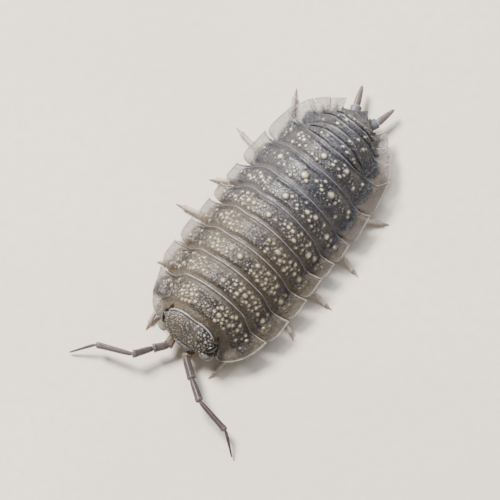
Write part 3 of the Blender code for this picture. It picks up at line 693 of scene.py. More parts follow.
def scatterWarts(points, sides, stations, recipe, chance):
    # large warts first, then smaller ones wherever there is still room
    placed = []

    def tryWart(side, station, radius, crowding, stretch):
        column = int(np.clip(np.searchsorted(sides, side), 2, len(sides) - 3))
        row = int(np.clip(np.searchsorted(stations, station), 2, len(stations) - 3))
        centre = points[row, column]
        for other, otherRadius, _ in placed:
            if np.linalg.norm(centre - other) < (radius + otherRadius) * crowding:
                return False
        placed.append((centre, radius, stretch))
        return True

    for x, y, radius in recipe.get("large", ()):
        gap = (points[..., 0] - x) ** 2 + (points[..., 1] - y) ** 2
        nearest = points[np.unravel_index(gap.argmin(), gap.shape)]
        placed.append((nearest, radius, 1.0))
    size, rear = recipe.get("size", 1.0), recipe.get("rear", 0.0)
    for across, station, radius in recipe["main"]:
        for sign in (1, -1):
            side = sign * across + chance.uniform(-0.03, 0.03)
            station = station + chance.uniform(-0.05, 0.05)
            tryWart(side, station, radius * size * chance.uniform(0.8, 1.1), 0.9, 1.0)
    low, high = recipe["belt"]
    for key in ("medium", "small", "tiny"):
        counts, least, most = recipe[key]
        count = round(counts[0] + (counts[1] - counts[0]) * rear)
        made = 0
        for _ in range(count * 14):
            if made >= count:
                break
            if key == "tiny" or chance.random() < 0.3:
                side = chance.uniform(-0.9, 0.9)
            else:
                side = chance.gauss(chance.choice(recipe["clusters"]), recipe["clusterSpread"])
                side *= chance.choice((1, -1))
            station = chance.uniform(low, high)
            stretch = chance.uniform(1.0, 1.45) if abs(side) > 0.5 else 1.0
            if key == "medium" and rear < 0.5 and abs(side) < 0.17:
                continue
            made += tryWart(side, station, chance.uniform(least, most), 0.88, stretch)
    return placed


def raiseWarts(points, placed, tallness, halo=0.0):
    # the height of every wart and how far up its dome each point lies
    height = np.zeros(points.shape[:2])
    dome = np.zeros(points.shape[:2])
    for centre, radius, stretch in placed:
        away = points - centre
        away = away / np.array([radius, radius * stretch, radius])
        distance = (away ** 2).sum(axis=2)
        part = np.clip(1.0 - distance, 0.0, 1.0) ** wartPlan["roundness"]
        height = np.maximum(height, part * radius * tallness)
        pale = 0.42 + 0.58 * smooth((radius - 0.05) / 0.13)
        pale *= 1.0 - 0.4 * smooth((abs(centre[0]) - 3.3) / 0.5)
        dome = np.maximum(dome, part ** wartPlan["softness"] * pale)
        dome = np.maximum(dome, halo * np.clip(1.0 - distance / 2.8, 0.0, 1.0))
    return height, dome


def shellDraft(points, stations, step, thickness, marks):
    # a thin closed plate: a fine upper side, a coarser lower side and walls between
    rows, columns = points.shape[:2]
    normals = gridNormals(points)
    lowerRows = list(range(0, rows - 1, step)) + [rows - 1]
    under = points[lowerRows] - normals[lowerRows] * thickness[lowerRows][..., None]
    base = rows * columns
    faces = []
    for i in range(rows - 1):
        for j in range(columns - 1):
            a = i * columns + j
            faces.append((a, a + 1, a + columns + 1, a + columns))
    for i in range(len(lowerRows) - 1):
        for j in range(columns - 1):
            a = base + i * columns + j
            faces.append((a + columns, a + columns + 1, a + 1, a))
    last = (rows - 1) * columns
    lowerLast = base + (len(lowerRows) - 1) * columns
    for j in range(columns - 1):
        faces.append((j, base + j, base + j + 1, j + 1))
        faces.append((last + j, last + j + 1, lowerLast + j + 1, lowerLast + j))
    for k, (first, second) in enumerate(zip(lowerRows, lowerRows[1:])):
        for j, outward in ((0, False), (columns - 1, True)):
            upper = [i * columns + j for i in range(second, first - 1, -1)]
            wall = [base + k * columns + j, base + (k + 1) * columns + j] + upper
            faces.append(tuple(wall if outward else reversed(wall)))
    draft = Draft()
    both = {}
    for markName, values in marks.items():
        lowered = values[lowerRows] * (0.0 if markName == "wart" else 1.0)
        both[markName] = np.concatenate([values.reshape(-1), lowered.reshape(-1)])
    draft.add(np.concatenate([points.reshape(-1, 3), under.reshape(-1, 3)]), faces, **both)
    return draft


def makePlate(name, row, surface, finish, recipe, chance, columns, rows, skirtFrom=None, freeFront=False):
    plan = shellPlan
    tucked = np.linspace(-1.0, 0.0, plan["tuckRows"], endpoint=False)
    shown = np.linspace(0.0, 1.0, rows) ** 1.2
    stations = np.concatenate([tucked, shown])
    sides = evenSides(surface, columns)
    side = sides[None, :]
    station = stations[:, None]
    points = surface(side, station)
    inside = np.clip(station, 0.0, 1.0) + 0.0 * side
    cornerWidth = row[3]
    fromMiddle = np.abs(points[..., 0]) / cornerWidth
    x, y = points[..., 0], points[..., 1]
    skirt = smooth((fromMiddle - shellPlan["skirtFrom"]) / 0.16)
    if skirtFrom:
        skirt = smooth((np.abs(x) - skirtFrom) / 0.7)
        if cornerWidth != row[5]:
            corner = smooth((fromMiddle - 0.72) / 0.2) * smooth((inside - 0.45) / 0.35)
            skirt = np.maximum(skirt, corner)
    if freeFront:
        skirt = np.maximum(skirt, smooth((np.abs(x) - 2.45) / 0.5) * smooth((2.25 - y) / 0.6))
    length = np.abs(points[-1, :, 1] - points[plan["tuckRows"], :, 1])[None, :]
    toHind = (1.0 - inside) * length
    outerX = np.where(side > 0, np.abs(points[:, -1:, 0]), np.abs(points[:, :1, 0]))
    toSide = outerX - np.abs(x)
    if not freeFront:
        toSide = toSide + 0.12 * (1.0 - inside) ** 3 + 0.1 * (cornerWidth < 2.7)
    rimDistance = np.minimum(toHind, toSide / (1.0 + 0.5 * skirt))
    if freeFront:
        lobes = smooth((np.abs(x) - 2.36) / 0.08)
        toFront = inside * length + (1.0 - lobes) * 9.0
        rimDistance = np.minimum(rimDistance, toFront)
    dark = smooth((y - 8.5) / 5.5)
    shoulder = smooth((fromMiddle - 0.4) / 0.25)
    rimWidth = plan["rimWidth"] * (1.0 - 0.2 * dark - 0.3 * shoulder + 0.3 * skirt)
    rim = smooth((rimWidth * 1.5 - rimDistance) / rimWidth) * (station >= 0.0)
    # painted sheen: a pale bluish patch across the middle of each hind band, stronger on the dark rear plates, standing
    # in for a reflection of the sky; it shares the rim mark
    paintedSheen = 0.36 * bell(x, 0.2, 1.2) * bell(inside, 0.94, 0.04) * (0.4 + 0.6 * dark)
    rimAndSheen = np.maximum(rim * (1.0 - 0.35 * shoulder * (1.0 - skirt)), paintedSheen)
    outward = np.clip((fromMiddle - 0.66) / 0.28, 0.0, 1.5)
    rounded = 1.0 - smooth((outward ** 2 + (np.abs(inside - 0.5) / 0.45) ** 2 * (outward > 0) - 0.7) / 0.45)
    ends = np.where(outward > 0, rounded, 1.0 - smooth(((np.abs(inside - 0.5) / 0.45) ** 2 - 0.7) / 0.45))
    belt = smooth((inside - 0.1) / 0.18) * smooth((0.88 - inside) / 0.14) * (1.0 - skirt) * ends
    relief = plan["beltHeight"] * belt
    relief = relief - plan["groove"] * bell(inside, 0.91, 0.05) * (1.0 - 0.5 * skirt)
    relief = relief + plan["rimBead"] * rim
    relief = relief - 0.06 * np.clip(1.0 - rimDistance / 0.05, 0.0, 1.0) ** 2 * (station >= 0.0)
    placed = scatterWarts(points, sides, stations, recipe, chance)
    height, dome = raiseWarts(points, placed, wartPlan["tallness"], 0.23 - 0.05 * dark)
    normals = gridNormals(points)
    points = points + normals * (relief + height)[..., None]
    middlePatch = bell(x, 0.15, 0.95) * bell(inside, 0.36, 0.3) * (1.0 - dark)
    shoulderSpot = bell(fromMiddle, 0.66, 0.075) * bell(inside, 0.9, 0.07) * (1.0 - 0.4 * dark)
    flank = bell(fromMiddle, 0.66, 0.14)
    pigment = belt * (0.45 + 1.1 * middlePatch + 0.5 * dark) + 1.2 * shoulderSpot
    pigment = pigment + bell(inside, 0.86, 0.09) * (0.25 + 0.3 * smooth((fromMiddle - 0.2) / 0.3)) * (1.0 - skirt)
    pigment = pigment + (0.4 if freeFront else 0.5) * flank * belt ** 0.5
    pigment = pigment + (0.5 * dark + 0.05) * (1.0 - belt) * (1.0 - skirt)
    if freeFront:
        pigment = pigment + 0.9 * bell(np.abs(x), 2.95, 0.4) * bell(y, 2.43, 0.4)
        pigment = pigment + (0.25 + 0.5 * middlePatch) * belt
    thickness = plan["edgeThickness"] + (plan["thickness"] - plan["edgeThickness"]) * (1.0 - skirt)
    # the rim mark holds the pale rims and the painted sheen of the hind bands
    marks = {"wart": dome, "rim": rimAndSheen, "pigment": np.clip(pigment, 0.0, 1.0), "along": inside,
             "skirt": skirt * (1.0 - 0.35 * belt), "dark": dark, "joint": skirt * smooth((y - 18.4) / 1.2)}
    draft = shellDraft(points, stations, plan["undersideStep"], thickness, marks)
    return draft.build(name, finish)


firstPlate = {"front": 1.8, "lobeFront": 0.68, "lobeInner": 2.42, "lobeOuter": 2.05}


def firstPlateStart(x):
    turn = smooth((np.abs(x) - firstPlate["lobeOuter"]) / (firstPlate["lobeInner"] - firstPlate["lobeOuter"]))
    return firstPlate["front"] + (firstPlate["lobeFront"] - firstPlate["front"]) * turn


def startBehind(*rows):
    return lambda x: np.max([hindMargin(x, row) for row in rows], axis=0)


def makeBroadPlates(finish):
    chance = random.Random(wartPlan["seed"])
    names = list(broadPlates)
    for number, name in enumerate(names):
        row = broadPlates[name]
        recipe = dict(wartPlan, size=0.84 + 0.03 * number, rear=float(smooth((number - 2.0) / 5.0)),
                      large=largeWarts[name])
        if number not in (3, 4, 5):
            recipe["main"] = ()
        if number == 0:
            surface = plateSurface(row, firstPlateStart,
                                   tuckUnder=lambda x: 1.0 - smooth((np.abs(x) - 1.9) / 0.2))
        else:
            surface = plateSurface(row, startBehind(broadPlates[names[number - 1]]))
        piece = makePlate(f"shell{number + 1}", row, surface, finish, recipe, chance,
                          shellPlan["columns"], shellPlan["rows"], freeFront=number == 0)
        settle(piece, "front_plate" if number < 4 else "rear_plate", name)
    print("broad plates made")


tailPlan = {
    "columns": 200,
    "rows": 30,
    "step": 0.03,
    "lift": 0.1,
    "droop": 0.2,
    "skirtFrom": (9.0, 9.0, 2.95, 2.4, 1.75),    # the first two have no skirts
    "warts": {"main": (), "medium": ((4, 4), 0.08, 0.11), "small": ((14, 14), 0.045, 0.065),
              "tiny": ((36, 36), 0.03, 0.04), "belt": (0.35, 0.82)},
}


def makeTail(finish):
    chance = random.Random(wartPlan["seed"] + 1)
    lastBroad = broadPlates["plate_8"]
    before = lastBroad
    tailTuck = lambda x: 1.0 + 0.0 * x
    for number, (name, row) in enumerate(tailPlates.items(), start=1):
        recipe = dict(wartPlan, **tailPlan["warts"], large=largeWarts[name])
        droop = tailPlan["droop"] if number < 3 else 0.0
        surface = plateSurface(row, startBehind(lastBroad, before), tailPlan["step"] * number,
                               droop, tailTuck, tailPlan["lift"])
        piece = makePlate(f"tailPlate{number}", row, surface, finish, recipe, chance,
                          tailPlan["columns"], tailPlan["rows"], tailPlan["skirtFrom"][number - 1])
        settle(piece, "tail")
        before = row
    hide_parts("pleon")
    print("tail plates made")


telsonPlan = {
    "length": 1.38,
    "halfWidth": 1.5,
    "hollow": 1.5,
    "tipWidth": 0.07,
    "thickness": 0.12,
    "droop": 0.7,
}


def makeTelson(finish):
    plan = telsonPlan
    last = tailPlates["tail_5"]
    stations = np.linspace(-0.25, 1.0, 46)
    sides = np.linspace(-1.0, 1.0, 61)
    station, side = stations[:, None], sides[None, :]
    inside = np.clip(station, 0.0, 1.0)
    halfWidth = plan["halfWidth"] * (1.0 - inside) ** plan["hollow"] + plan["tipWidth"]
    x = side * halfWidth
    y = hindMargin(x, last) - 0.05 + plan["length"] * station
    z = backHeight(x * 0.85, y, 3.0) - plan["droop"] * inside - 0.16 * (station < 0) - 0.1
    z = z - 0.1 * bell(np.abs(x), 0.0, 0.22) * inside
    points = posed(np.stack(np.broadcast_arrays(x, y, z), axis=-1))
    chance = random.Random(wartPlan["seed"] + 2)
    recipe = dict(wartPlan, main=((0.5, 0.25, 0.09),), medium=((2, 2), 0.06, 0.08), clusters=(0.2, 0.5),
                  small=((8, 8), 0.035, 0.05), tiny=((24, 24), 0.02, 0.03), belt=(0.1, 0.7))
    placed = scatterWarts(points, sides, stations, recipe, chance)
    height, dome = raiseWarts(points, placed, wartPlan["tallness"])
    points = points + gridNormals(points) * height[..., None]
    toSide = (1.0 - np.abs(side)) * halfWidth
    rim = 0.35 * smooth((0.09 - toSide) / 0.05) * (station >= 0.0)
    full = np.ones_like(dome)
    marks = {"wart": dome, "rim": rim * full, "pigment": 0.85 * full, "along": 0.5 * full, "dark": full}
    draft = shellDraft(points, stations, 5, plan["thickness"] * full, marks)
    settle(draft.build("telsonShell", finish), "tail", "telson")
    print("telson made")


# Head

headLook = dict(shellLook, patchSize=0.25, dotSize=0.12, ivory=(tone(190, 177, 152),) * 2,
                base=(tone(92, 84, 74), tone(70, 67, 68)))

headPlan = {
    "hind": 1.62,
    "rings": 110,
    "around": 240,
    "power": 2.7,
    # distance behind the forehead: half width, lowest point, highest point
    "halfWidth": ((0.02, 0.9), (0.14, 1.4), (0.3, 1.72), (0.6, 2.0), (1.0, 2.12), (1.45, 2.06), (1.62, 1.96)),
    "low": ((0.02, 1.66), (0.3, 1.46), (0.6, 1.32), (1.0, 1.22), (1.5, 1.16)),
    "high": ((0.02, 1.96), (0.14, 2.1), (0.3, 2.42), (0.6, 2.84), (1.0, 3.16), (1.5, 3.36)),
    "hindBend": 0.45,      # the hind line bends this far forward at the sides
    "largeWarts": 15,
    "warts": 150,
    # centre on each side, half lengths and how far the front end turns inwards
    "eyeCentre": {"left": (2.1, 0.84, 2.28), "right": (-2.07, 0.86, 2.28)},
    "eyeRadii": (0.24, 0.52, 0.36),
    "eyeTurn": 0.4,
}


def makeHead(finish):
    plan = headPlan
    depths = np.linspace(0.0, 1.0, plan["rings"]) ** 1.1
    ys = 0.02 + (plan["hind"] - 0.02) * depths
    angles = np.linspace(0.0, 2 * math.pi, plan["around"], endpoint=False)
    wide = readTable(plan["halfWidth"], ys, 0.06)[:, None]
    low = readTable(plan["low"], ys, 0.1)[:, None]
    high = readTable(plan["high"], ys, 0.08)[:, None]
    across = np.sign(np.cos(angles)) * np.abs(np.cos(angles)) ** (2 / plan["power"])
    upward = np.sign(np.sin(angles)) * np.abs(np.sin(angles)) ** (2 / plan["power"])
    x = across[None, :] * wide
    z = (low + high) / 2 + upward[None, :] * (high - low) / 2
    depth = np.broadcast_to(ys[:, None], x.shape)
    y = depth - plan["hindBend"] * np.abs(x / 2.1) ** 4 * (depth / plan["hind"]) ** 2
    points = np.stack([x, y, z], axis=-1)
    closed = np.concatenate([points, points[:, :1]], axis=1)
    normals = -gridNormals(closed)[:, :-1]
    top = smooth(upward[None, :] * 1.6) * np.ones_like(x)
    chance = random.Random(wartPlan["seed"] + 3)
    placed = []
    for index in range(plan["warts"] * 30):
        if len(placed) >= plan["warts"]:
            break
        ring = chance.randrange(8, plan["rings"] - 12)
        step = chance.randrange(plan["around"] // 2)
        radius = chance.uniform(0.1, 0.14) if len(placed) < plan["largeWarts"] else chance.uniform(0.06, 0.095)
        centre = points[ring, step]
        if upward[step] < 0.3 or (len(placed) < plan["largeWarts"] and centre[0] < 0.2):
            continue
        if all(np.linalg.norm(centre - other) > (radius + size) * 0.86 for other, size, _ in placed):
            placed.append((centre, radius, 1.0))
    height, dome = raiseWarts(points, placed, 0.6)
    hindRim = smooth((depth - (plan["hind"] - 0.15)) / 0.07) * top
    groove = bell(depth, plan["hind"] - 0.22, 0.06) * top
    relief = height + 0.07 * hindRim - 0.05 * groove
    points = points + normals * relief[..., None]
    draft = Draft()
    # pigment darker along the middle of the head, and the head's left side painted darker as painted shade on the side
    # away from the key light
    pigment = 0.5 + 0.25 * bell(np.abs(x), 0.0, 0.8) + 0.45 * smooth((x - 0.6) / 0.7)
    draft.add(points, ringFaces(plan["rings"], plan["around"]), wart=(dome * top).reshape(-1),
              rim=hindRim.reshape(-1), pigment=(pigment * top).reshape(-1), along=0.5,
              dark=0.25)
    piece = draft.build("headShell", finish)
    settle(piece, "head", "head")
    print("head made")


# A pale lobe on the front of the head: centre, half lengths, turn seen from above.
lobePlan = {
    "middleLobe": ((0.15, 0.03, 1.76), (0.82, 0.24, 0.13), 0.0),
    "sideLobeLeft": ((1.97, 0.43, 1.83), (0.52, 0.47, 0.23), 0.45),
    "sideLobeRight": ((-1.84, 0.31, 1.72), (0.44, 0.35, 0.17), -0.5),
}


def makeLobes(finish):
    for name, (centre, radii, turn) in lobePlan.items():
        rings, around = 26, 48
        draft = Draft()
        heights = np.linspace(-1.0, 1.0, rings)[1:-1]
        angles = np.linspace(0.0, 2 * math.pi, around, endpoint=False)
        shapes = []
        for height in heights:
            reach = math.sqrt(1.0 - height * height) ** 0.6
            shapes.append([(radii[0] * reach * math.cos(a), radii[1] * reach * math.sin(a),
                            radii[2] * height + 0.25 * radii[2] * reach) for a in angles])
        points = np.array(shapes)
        spin = np.array([[math.cos(turn), -math.sin(turn), 0], [math.sin(turn), math.cos(turn), 0], [0, 0, 1]])
        flatX, flatY = points[..., 0] / radii[0], points[..., 1] / radii[1]
        rim = 0.75 * smooth((np.sqrt(flatX ** 2 + flatY ** 2) - 0.92) / 0.07)
        points = points @ spin.T + np.array(centre)
        # the left side lobe's darkening is painted shade; the middle lobe's darkening is its own pigment, and the right
        # lobe is clear skirt
        thin, stainAndShade = {"middleLobe": (0.0, 0.6), "sideLobeLeft": (0.0, 0.5), "sideLobeRight": (0.6, 0.0)}[name]
        draft.add(points, ringFaces(len(heights), around), rim=rim.reshape(-1), along=0.5, skirt=thin,
                  pigment=stainAndShade, dark=0.1 if turn else 1.0)
        settle(draft.build(name, finish), "head")
    print("head lobes made")


eyePlan = {"rings": 40, "around": 60, "facetSize": 0.07, "facetHeight": 0.22}


def makeEyes(finish):
    for sign, word in ((1, "left"), (-1, "right")):
        centre = np.array(headPlan["eyeCentre"][word])
        turn = headPlan["eyeTurn"] * sign
        spin = np.array([[math.cos(turn), math.sin(turn), 0], [-math.sin(turn), math.cos(turn), 0], [0, 0, 1]])
        radii = np.array(headPlan["eyeRadii"])
        tilts = np.linspace(-math.pi / 2, math.pi / 2, eyePlan["rings"] + 2)[1:-1]
        angles = np.linspace(0.0, 2 * math.pi, eyePlan["around"], endpoint=False)
        tilt, angle = np.meshgrid(tilts, angles, indexing="ij")
        unit = np.stack([np.cos(tilt) * np.cos(angle), np.sin(tilt), np.cos(tilt) * np.sin(angle)], axis=-1)
        points = unit * radii
        # rows of round facets over the bulge
        row = points[..., 1] / (eyePlan["facetSize"] * 1.5)
        column = points[..., 2] / (eyePlan["facetSize"] * 1.7) + 0.5 * (np.round(row) % 2)
        offRow, offColumn = row - np.round(row), column - np.round(column)
        facet = np.clip(1.0 - (offRow ** 2 + offColumn ** 2) * 4.0, 0.0, 1.0) ** 0.6
        points = points + unit * (facet * eyePlan["facetSize"] * eyePlan["facetHeight"])[..., None]
        draft = Draft()
        faces = [tuple(reversed(face)) for face in ringFaces(eyePlan["rings"], eyePlan["around"])]
        draft.add(points @ spin.T + centre, faces)
        piece = draft.build("eye" + word.title(), finish)
        settle(piece, "eye", "eye_" + word)
    print("eyes made")


# Feelers and legs

def cone(base, tip, radius, around=5):
    axis = tip - base
    axis = axis / np.linalg.norm(axis)
    side = np.cross(axis, (0.3, 0.2, 0.93))
    side /= np.linalg.norm(side)
    other = np.cross(axis, side)
    angles = np.linspace(0, 2 * math.pi, around, endpoint=False)
    ring = base + radius * (np.outer(np.cos(angles), side) + np.outer(np.sin(angles), other))
    points = np.vstack([ring, tip])
    faces = [(step, (step + 1) % around, around) for step in range(around)]
    faces.append(tuple(reversed(range(around))))
    return points, faces


def limbProfile(parts, joints, radii, flare, pinch):
    # thickness along a jointed limb: each article widens, flares and is pinched in at its joint
    thickness = []
    membrane = []
    for part in parts:
        article = max(0, min(len(joints) - 2, int(np.searchsorted(joints, part, side="right")) - 1))
        local = (part - joints[article]) / (joints[article + 1] - joints[article])
        near, far = radii[article]
        value = near + (far - near) * local
        value *= 0.84 + 0.16 * float(smooth(local / 0.3)) + flare * math.exp(-((local - 0.9) / 0.08) ** 2)
        gap = 1.0 - float(smooth(local / 0.05)) if article > 0 else 0.0
        if article < len(joints) - 2:
            gap = max(gap, float(smooth((local - 0.965) / 0.03)))
        thickness.append(value * (1.0 - pinch * gap))
        membrane.append(max(gap, math.exp(-((local - 0.93) / 0.05) ** 2) * 0.7))
    return np.array(thickness), np.array(membrane)


def bristles(draft, path, thickness, places, chance, length, along):
    for part in places:
        index = int(part * (len(path) - 1))
        step = path[min(index + 1, len(path) - 1)] - path[max(index - 1, 0)]
        step = step / np.linalg.norm(step)
        side = np.cross(step, (0.0, 0.0, 1.0))
        side /= np.linalg.norm(side)
        up = np.cross(side, step)
        angle = chance.uniform(0, 2 * math.pi)
        outward = math.cos(angle) * side + math.sin(angle) * up
        base = path[index] + outward * thickness[index] * 0.85
        tip = base + (outward * 0.75 + step * 0.65) * length * chance.uniform(0.7, 1.2)
        if tip[2] < 0.03:
            continue
        points, faces = cone(base, tip, length * 0.16)
        draft.add(points, faces, along=along, joint=0.5)


feelerPlan = {
    "joints": {
        "left": ((0.90, 0.36, 0.98), (0.80, -0.48, 1.15), (2.16, -1.53, 1.25),
                 (3.64, -2.57, 1.55), (6.35, -3.07, 1.05), (7.71, -4.17, 0.27)),
        "right": ((-0.90, 0.36, 0.98), (-0.76, -0.50, 1.15), (-1.45, -1.36, 1.25),
                  (-2.28, -2.68, 1.55), (-4.92, -3.57, 1.05), (-6.19, -4.96, 0.27)),
    },
    "radii": ((0.3, 0.34), (0.27, 0.3), (0.22, 0.27), (0.17, 0.22), (0.13, 0.05)),
    "around": 30,
    "samples": 34,
    "ridges": 5,
    "ridgeDepth": 0.07,
    "flare": 0.1,
    "pinch": 0.28,
    "bristles": 70,
}


def makeFeelers(finish):
    plan = feelerPlan
    chance = random.Random(wartPlan["seed"] + 4)
    for word, corners in plan["joints"].items():
        corners = [np.array(corner) for corner in corners]
        lengths = [np.linalg.norm(b - a) for a, b in zip(corners, corners[1:])]
        joints = np.concatenate(([0.0], np.cumsum(lengths))) / sum(lengths)
        parts = np.concatenate([np.linspace(joints[k], joints[k + 1], plan["samples"], endpoint=False)
                                for k in range(len(corners) - 1)] + [[1.0]])
        straight = np.stack([np.interp(parts, joints, [corner[axis] for corner in corners])
                             for axis in range(3)], axis=1)
        # a little rounding where one article turns into the next
        path = straight.copy()
        for _ in range(12):
            path[1:-1] = (path[:-2] + path[1:-1] + path[2:]) / 3
        thickness, membrane = limbProfile(parts, joints, plan["radii"], plan["flare"], plan["pinch"])
        rings = tubeRings(path, thickness, plan["around"], plan["ridges"], plan["ridgeDepth"])
        angles = np.linspace(0, 2 * math.pi, plan["around"], endpoint=False)
        crest = smooth((np.cos(plan["ridges"] * angles) - 0.4) / 0.6)
        draft = Draft()
        rim = np.broadcast_to(crest[None, :] * 0.75, rings.shape[:2]).reshape(-1)
        draft.add(rings, ringFaces(len(path), plan["around"]), rim=rim,
                  joint=np.repeat(membrane, plan["around"]), along=np.repeat(parts, plan["around"]))
        places = [chance.uniform(0.12, 0.97) for _ in range(plan["bristles"])]
        bristles(draft, path, thickness, places, chance, 0.09, 0.5)
        for joint in joints[2:5]:
            bristles(draft, path, thickness, [joint - 0.012] * 5, chance, 0.14, 0.5)
        nodes = [f"antenna_{word}_{piece}" for piece in ("base", "third", "fourth", "fifth", "whip")]
        settle(draft.build("feeler" + word.title(), finish), "feeler", *nodes)
    print("feelers made")


legPlan = {
    "roots": (3.0, 5.25, 7.15, 9.05, 12.75, 14.7, 16.75),
    "rootHalfWidth": 2.725,
    "bend": 0.55,
    "feet": {
        "left": ((2.8, -0.5), (4.2, 2.7), (5.9, 5.4), (6.7, 8.9), (6.7, 12.0), (6.1, 16.5), (3.9, 19.0)),
        "right": ((2.95, -0.3), (5.4, 4.2), (5.3, 6.2), (7.0, 8.5), (6.2, 11.4), (7.05, 15.7), (5.4, 20.7)),
    },
    "joints": (0.0, 0.33, 0.47, 0.62, 0.88, 1.0),
    "radii": ((0.27, 0.27), (0.23, 0.25), (0.22, 0.23), (0.19, 0.16), (0.1, 0.025)),
    "heights": ((-0.2, 1.15), (0.0, 1.12), (0.1, 1.13), (0.3, 1.02), (0.45, 0.84), (0.6, 0.6),
                (0.8, 0.34), (0.94, 0.14), (1.0, 0.03)),
    "rings": 96,
    "around": 16,
    "flare": 0.16,
    "pinch": 0.28,
}


def makeLegs(finish):
    plan = legPlan
    chance = random.Random(wartPlan["seed"] + 5)
    for sign, word in ((1, "left"), (-1, "right")):
        for number, (footX, footY) in enumerate(plan["feet"][word], start=1):
            root = np.array([plan["rootHalfWidth"], plan["roots"][number - 1]])
            foot = np.array([footX, footY])
            bend = root + (foot - root) * 0.3 + np.array([plan["bend"], 0.0])
            parts = np.linspace(0.0, 1.0, plan["rings"])
            part = parts[:, None]
            flat = (root * (1 - part) + bend * part) * (1 - part) + (bend * (1 - part) + foot * part) * part
            heights = readTable(plan["heights"], parts, 0.04)
            path = np.column_stack([flat[:, 0], flat[:, 1], heights])
            inward = path[0] + np.linspace(1.0, 0.0, 8, endpoint=False)[:, None] * np.array([-0.6, 0.0, 0.05])
            path = np.vstack([inward, path]) * (sign, 1, 1)
            parts = np.concatenate([np.zeros(len(inward)), parts])
            thickness, membrane = limbProfile(parts, np.array(plan["joints"]), plan["radii"],
                                              plan["flare"], plan["pinch"])
            thickness = np.minimum(thickness, path[:, 2] * 0.98)
            rings = tubeRings(path, thickness, plan["around"])
            draft = Draft()
            draft.add(rings, ringFaces(len(path), plan["around"]), joint=np.repeat(membrane, plan["around"]),
                      along=np.repeat(parts, plan["around"]))
            places = [chance.uniform(0.3, 0.9) for _ in range(26)]
            bristles(draft, path, thickness, places, chance, 0.12, 0.7)
            for joint in plan["joints"][1:4]:
                bristles(draft, path, thickness, [joint + 0.03] * 4, chance, 0.17, 0.7)
            piece = draft.build(f"leg{word.title()}{number}", finish)
            settle(piece, "leg", f"leg_{word}_{number}")
    print("legs made")


# Belly and the parts under the head

bellyPlan = {
    "start": 1.25,
    "end": 20.45,
    "rings": 180,
    "low": 0.95,
    "halfWidth": 2.15,
    "sideHalfWidth": 2.9,
    "shellGap": 0.3,
    "segment": 1.92,
}


def makeBelly(finish):
    plan = bellyPlan
    ys = np.linspace(plan["start"], plan["end"], plan["rings"])
    profile = []
    marks = []
    for y in ys:
        taper = float(smooth((y - plan["start"] + 0.3) / 1.2) * smooth((plan["end"] - y + 0.4) / 3.5))
        taper = 0.36 + 0.64 * taper
        fold = math.exp(-(((y - 1.0) % plan["segment"] - plan["segment"] / 2) / 0.12) ** 2)
        inner, outer = plan["halfWidth"] * taper, plan["sideHalfWidth"] * taper
        low = plan["low"] + 0.12 * fold + 0.5 * (1 - taper)
        bottomX = np.linspace(-inner, inner, 21)
        bottom = [(x, y, low - 0.06 * math.cos(x / inner * math.pi / 2)) for x in bottomX]
        topX = np.linspace(outer, -outer, 31)
        heights = backHeight(topX, np.full_like(topX, y), 5.0) - plan["shellGap"]
        top = [(x, y, max(float(z), 1.5)) for x, z in zip(topX, heights)]
        wall = [(inner + (outer - inner) * t, y, low + (1.45 - low) * t ** 0.8) for t in (0.3, 0.6, 0.85)]
        mirror = [(-x, y, z) for x, _, z in reversed(wall)]
        ring = bottom + wall + top + mirror
        profile.append(ring)
        marks.append(fold)
    points = posed(np.array(profile))
    around = points.shape[1]
    draft = Draft()
    faces = ringFaces(len(ys), around)
    draft.add(points, faces, joint=np.repeat(np.array(marks) * 0.6, around), along=0.5)
    settle(draft.build("bellySkin", finish), "leg")
    print("belly made")


mouthPlan = {
    "clypeus": ((0.0, 0.52, 1.36), (1.0, 0.42, 0.34)),
    "mouthLeft": ((0.36, 0.98, 1.0), (0.34, 0.5, 0.34)),
    "mouthRight": ((-0.36, 0.98, 1.0), (0.34, 0.5, 0.34)),
    "jawLeft": ((0.98, 1.05, 1.12), (0.3, 0.42, 0.34)),
    "jawRight": ((-0.98, 1.05, 1.12), (0.3, 0.42, 0.34)),
}


def makeMouth(finish):
    draft = Draft()
    for centre, radii in mouthPlan.values():
        tilts = np.linspace(-math.pi / 2, math.pi / 2, 22)[1:-1]
        angles = np.linspace(0.0, 2 * math.pi, 36, endpoint=False)
        tilt, angle = np.meshgrid(tilts, angles, indexing="ij")
        unit = np.stack([np.cos(tilt) * np.cos(angle), np.cos(tilt) * np.sin(angle), np.sin(tilt)], axis=-1)
        points = unit * np.array(radii)
        crease = bell(points[..., 1], -0.1 * radii[1], 0.1)
        points = points * (1.0 - 0.08 * crease)[..., None] + np.array(centre)
        draft.add(points, ringFaces(len(tilts), 36), joint=(crease * 0.5).reshape(-1), along=0.3)
    settle(draft.build("mouthParts", finish), "leg")
    print("mouth made")


uropodPlan = {
    # where each length starts and ends on the left side; the right one is turned a little more
    "base": ((0.6, 20.95, 1.1), (0.98, 21.86, 1.0)),
    "baseRadius": 0.4,
    "tipRoot": (1.0, 21.84, 1.0),
    "tipEnd": {"left": (1.33, 23.42, 0.94), "right": (1.6, 23.26, 0.94)},
    "tipRadius": 0.27,
    "innerRoot": (0.4, 21.2, 0.95),
    "innerEnd": (0.42, 21.85, 0.9),
}


def placedOn(side, place):
    return posed(np.array(place) * (side, 1, 1))


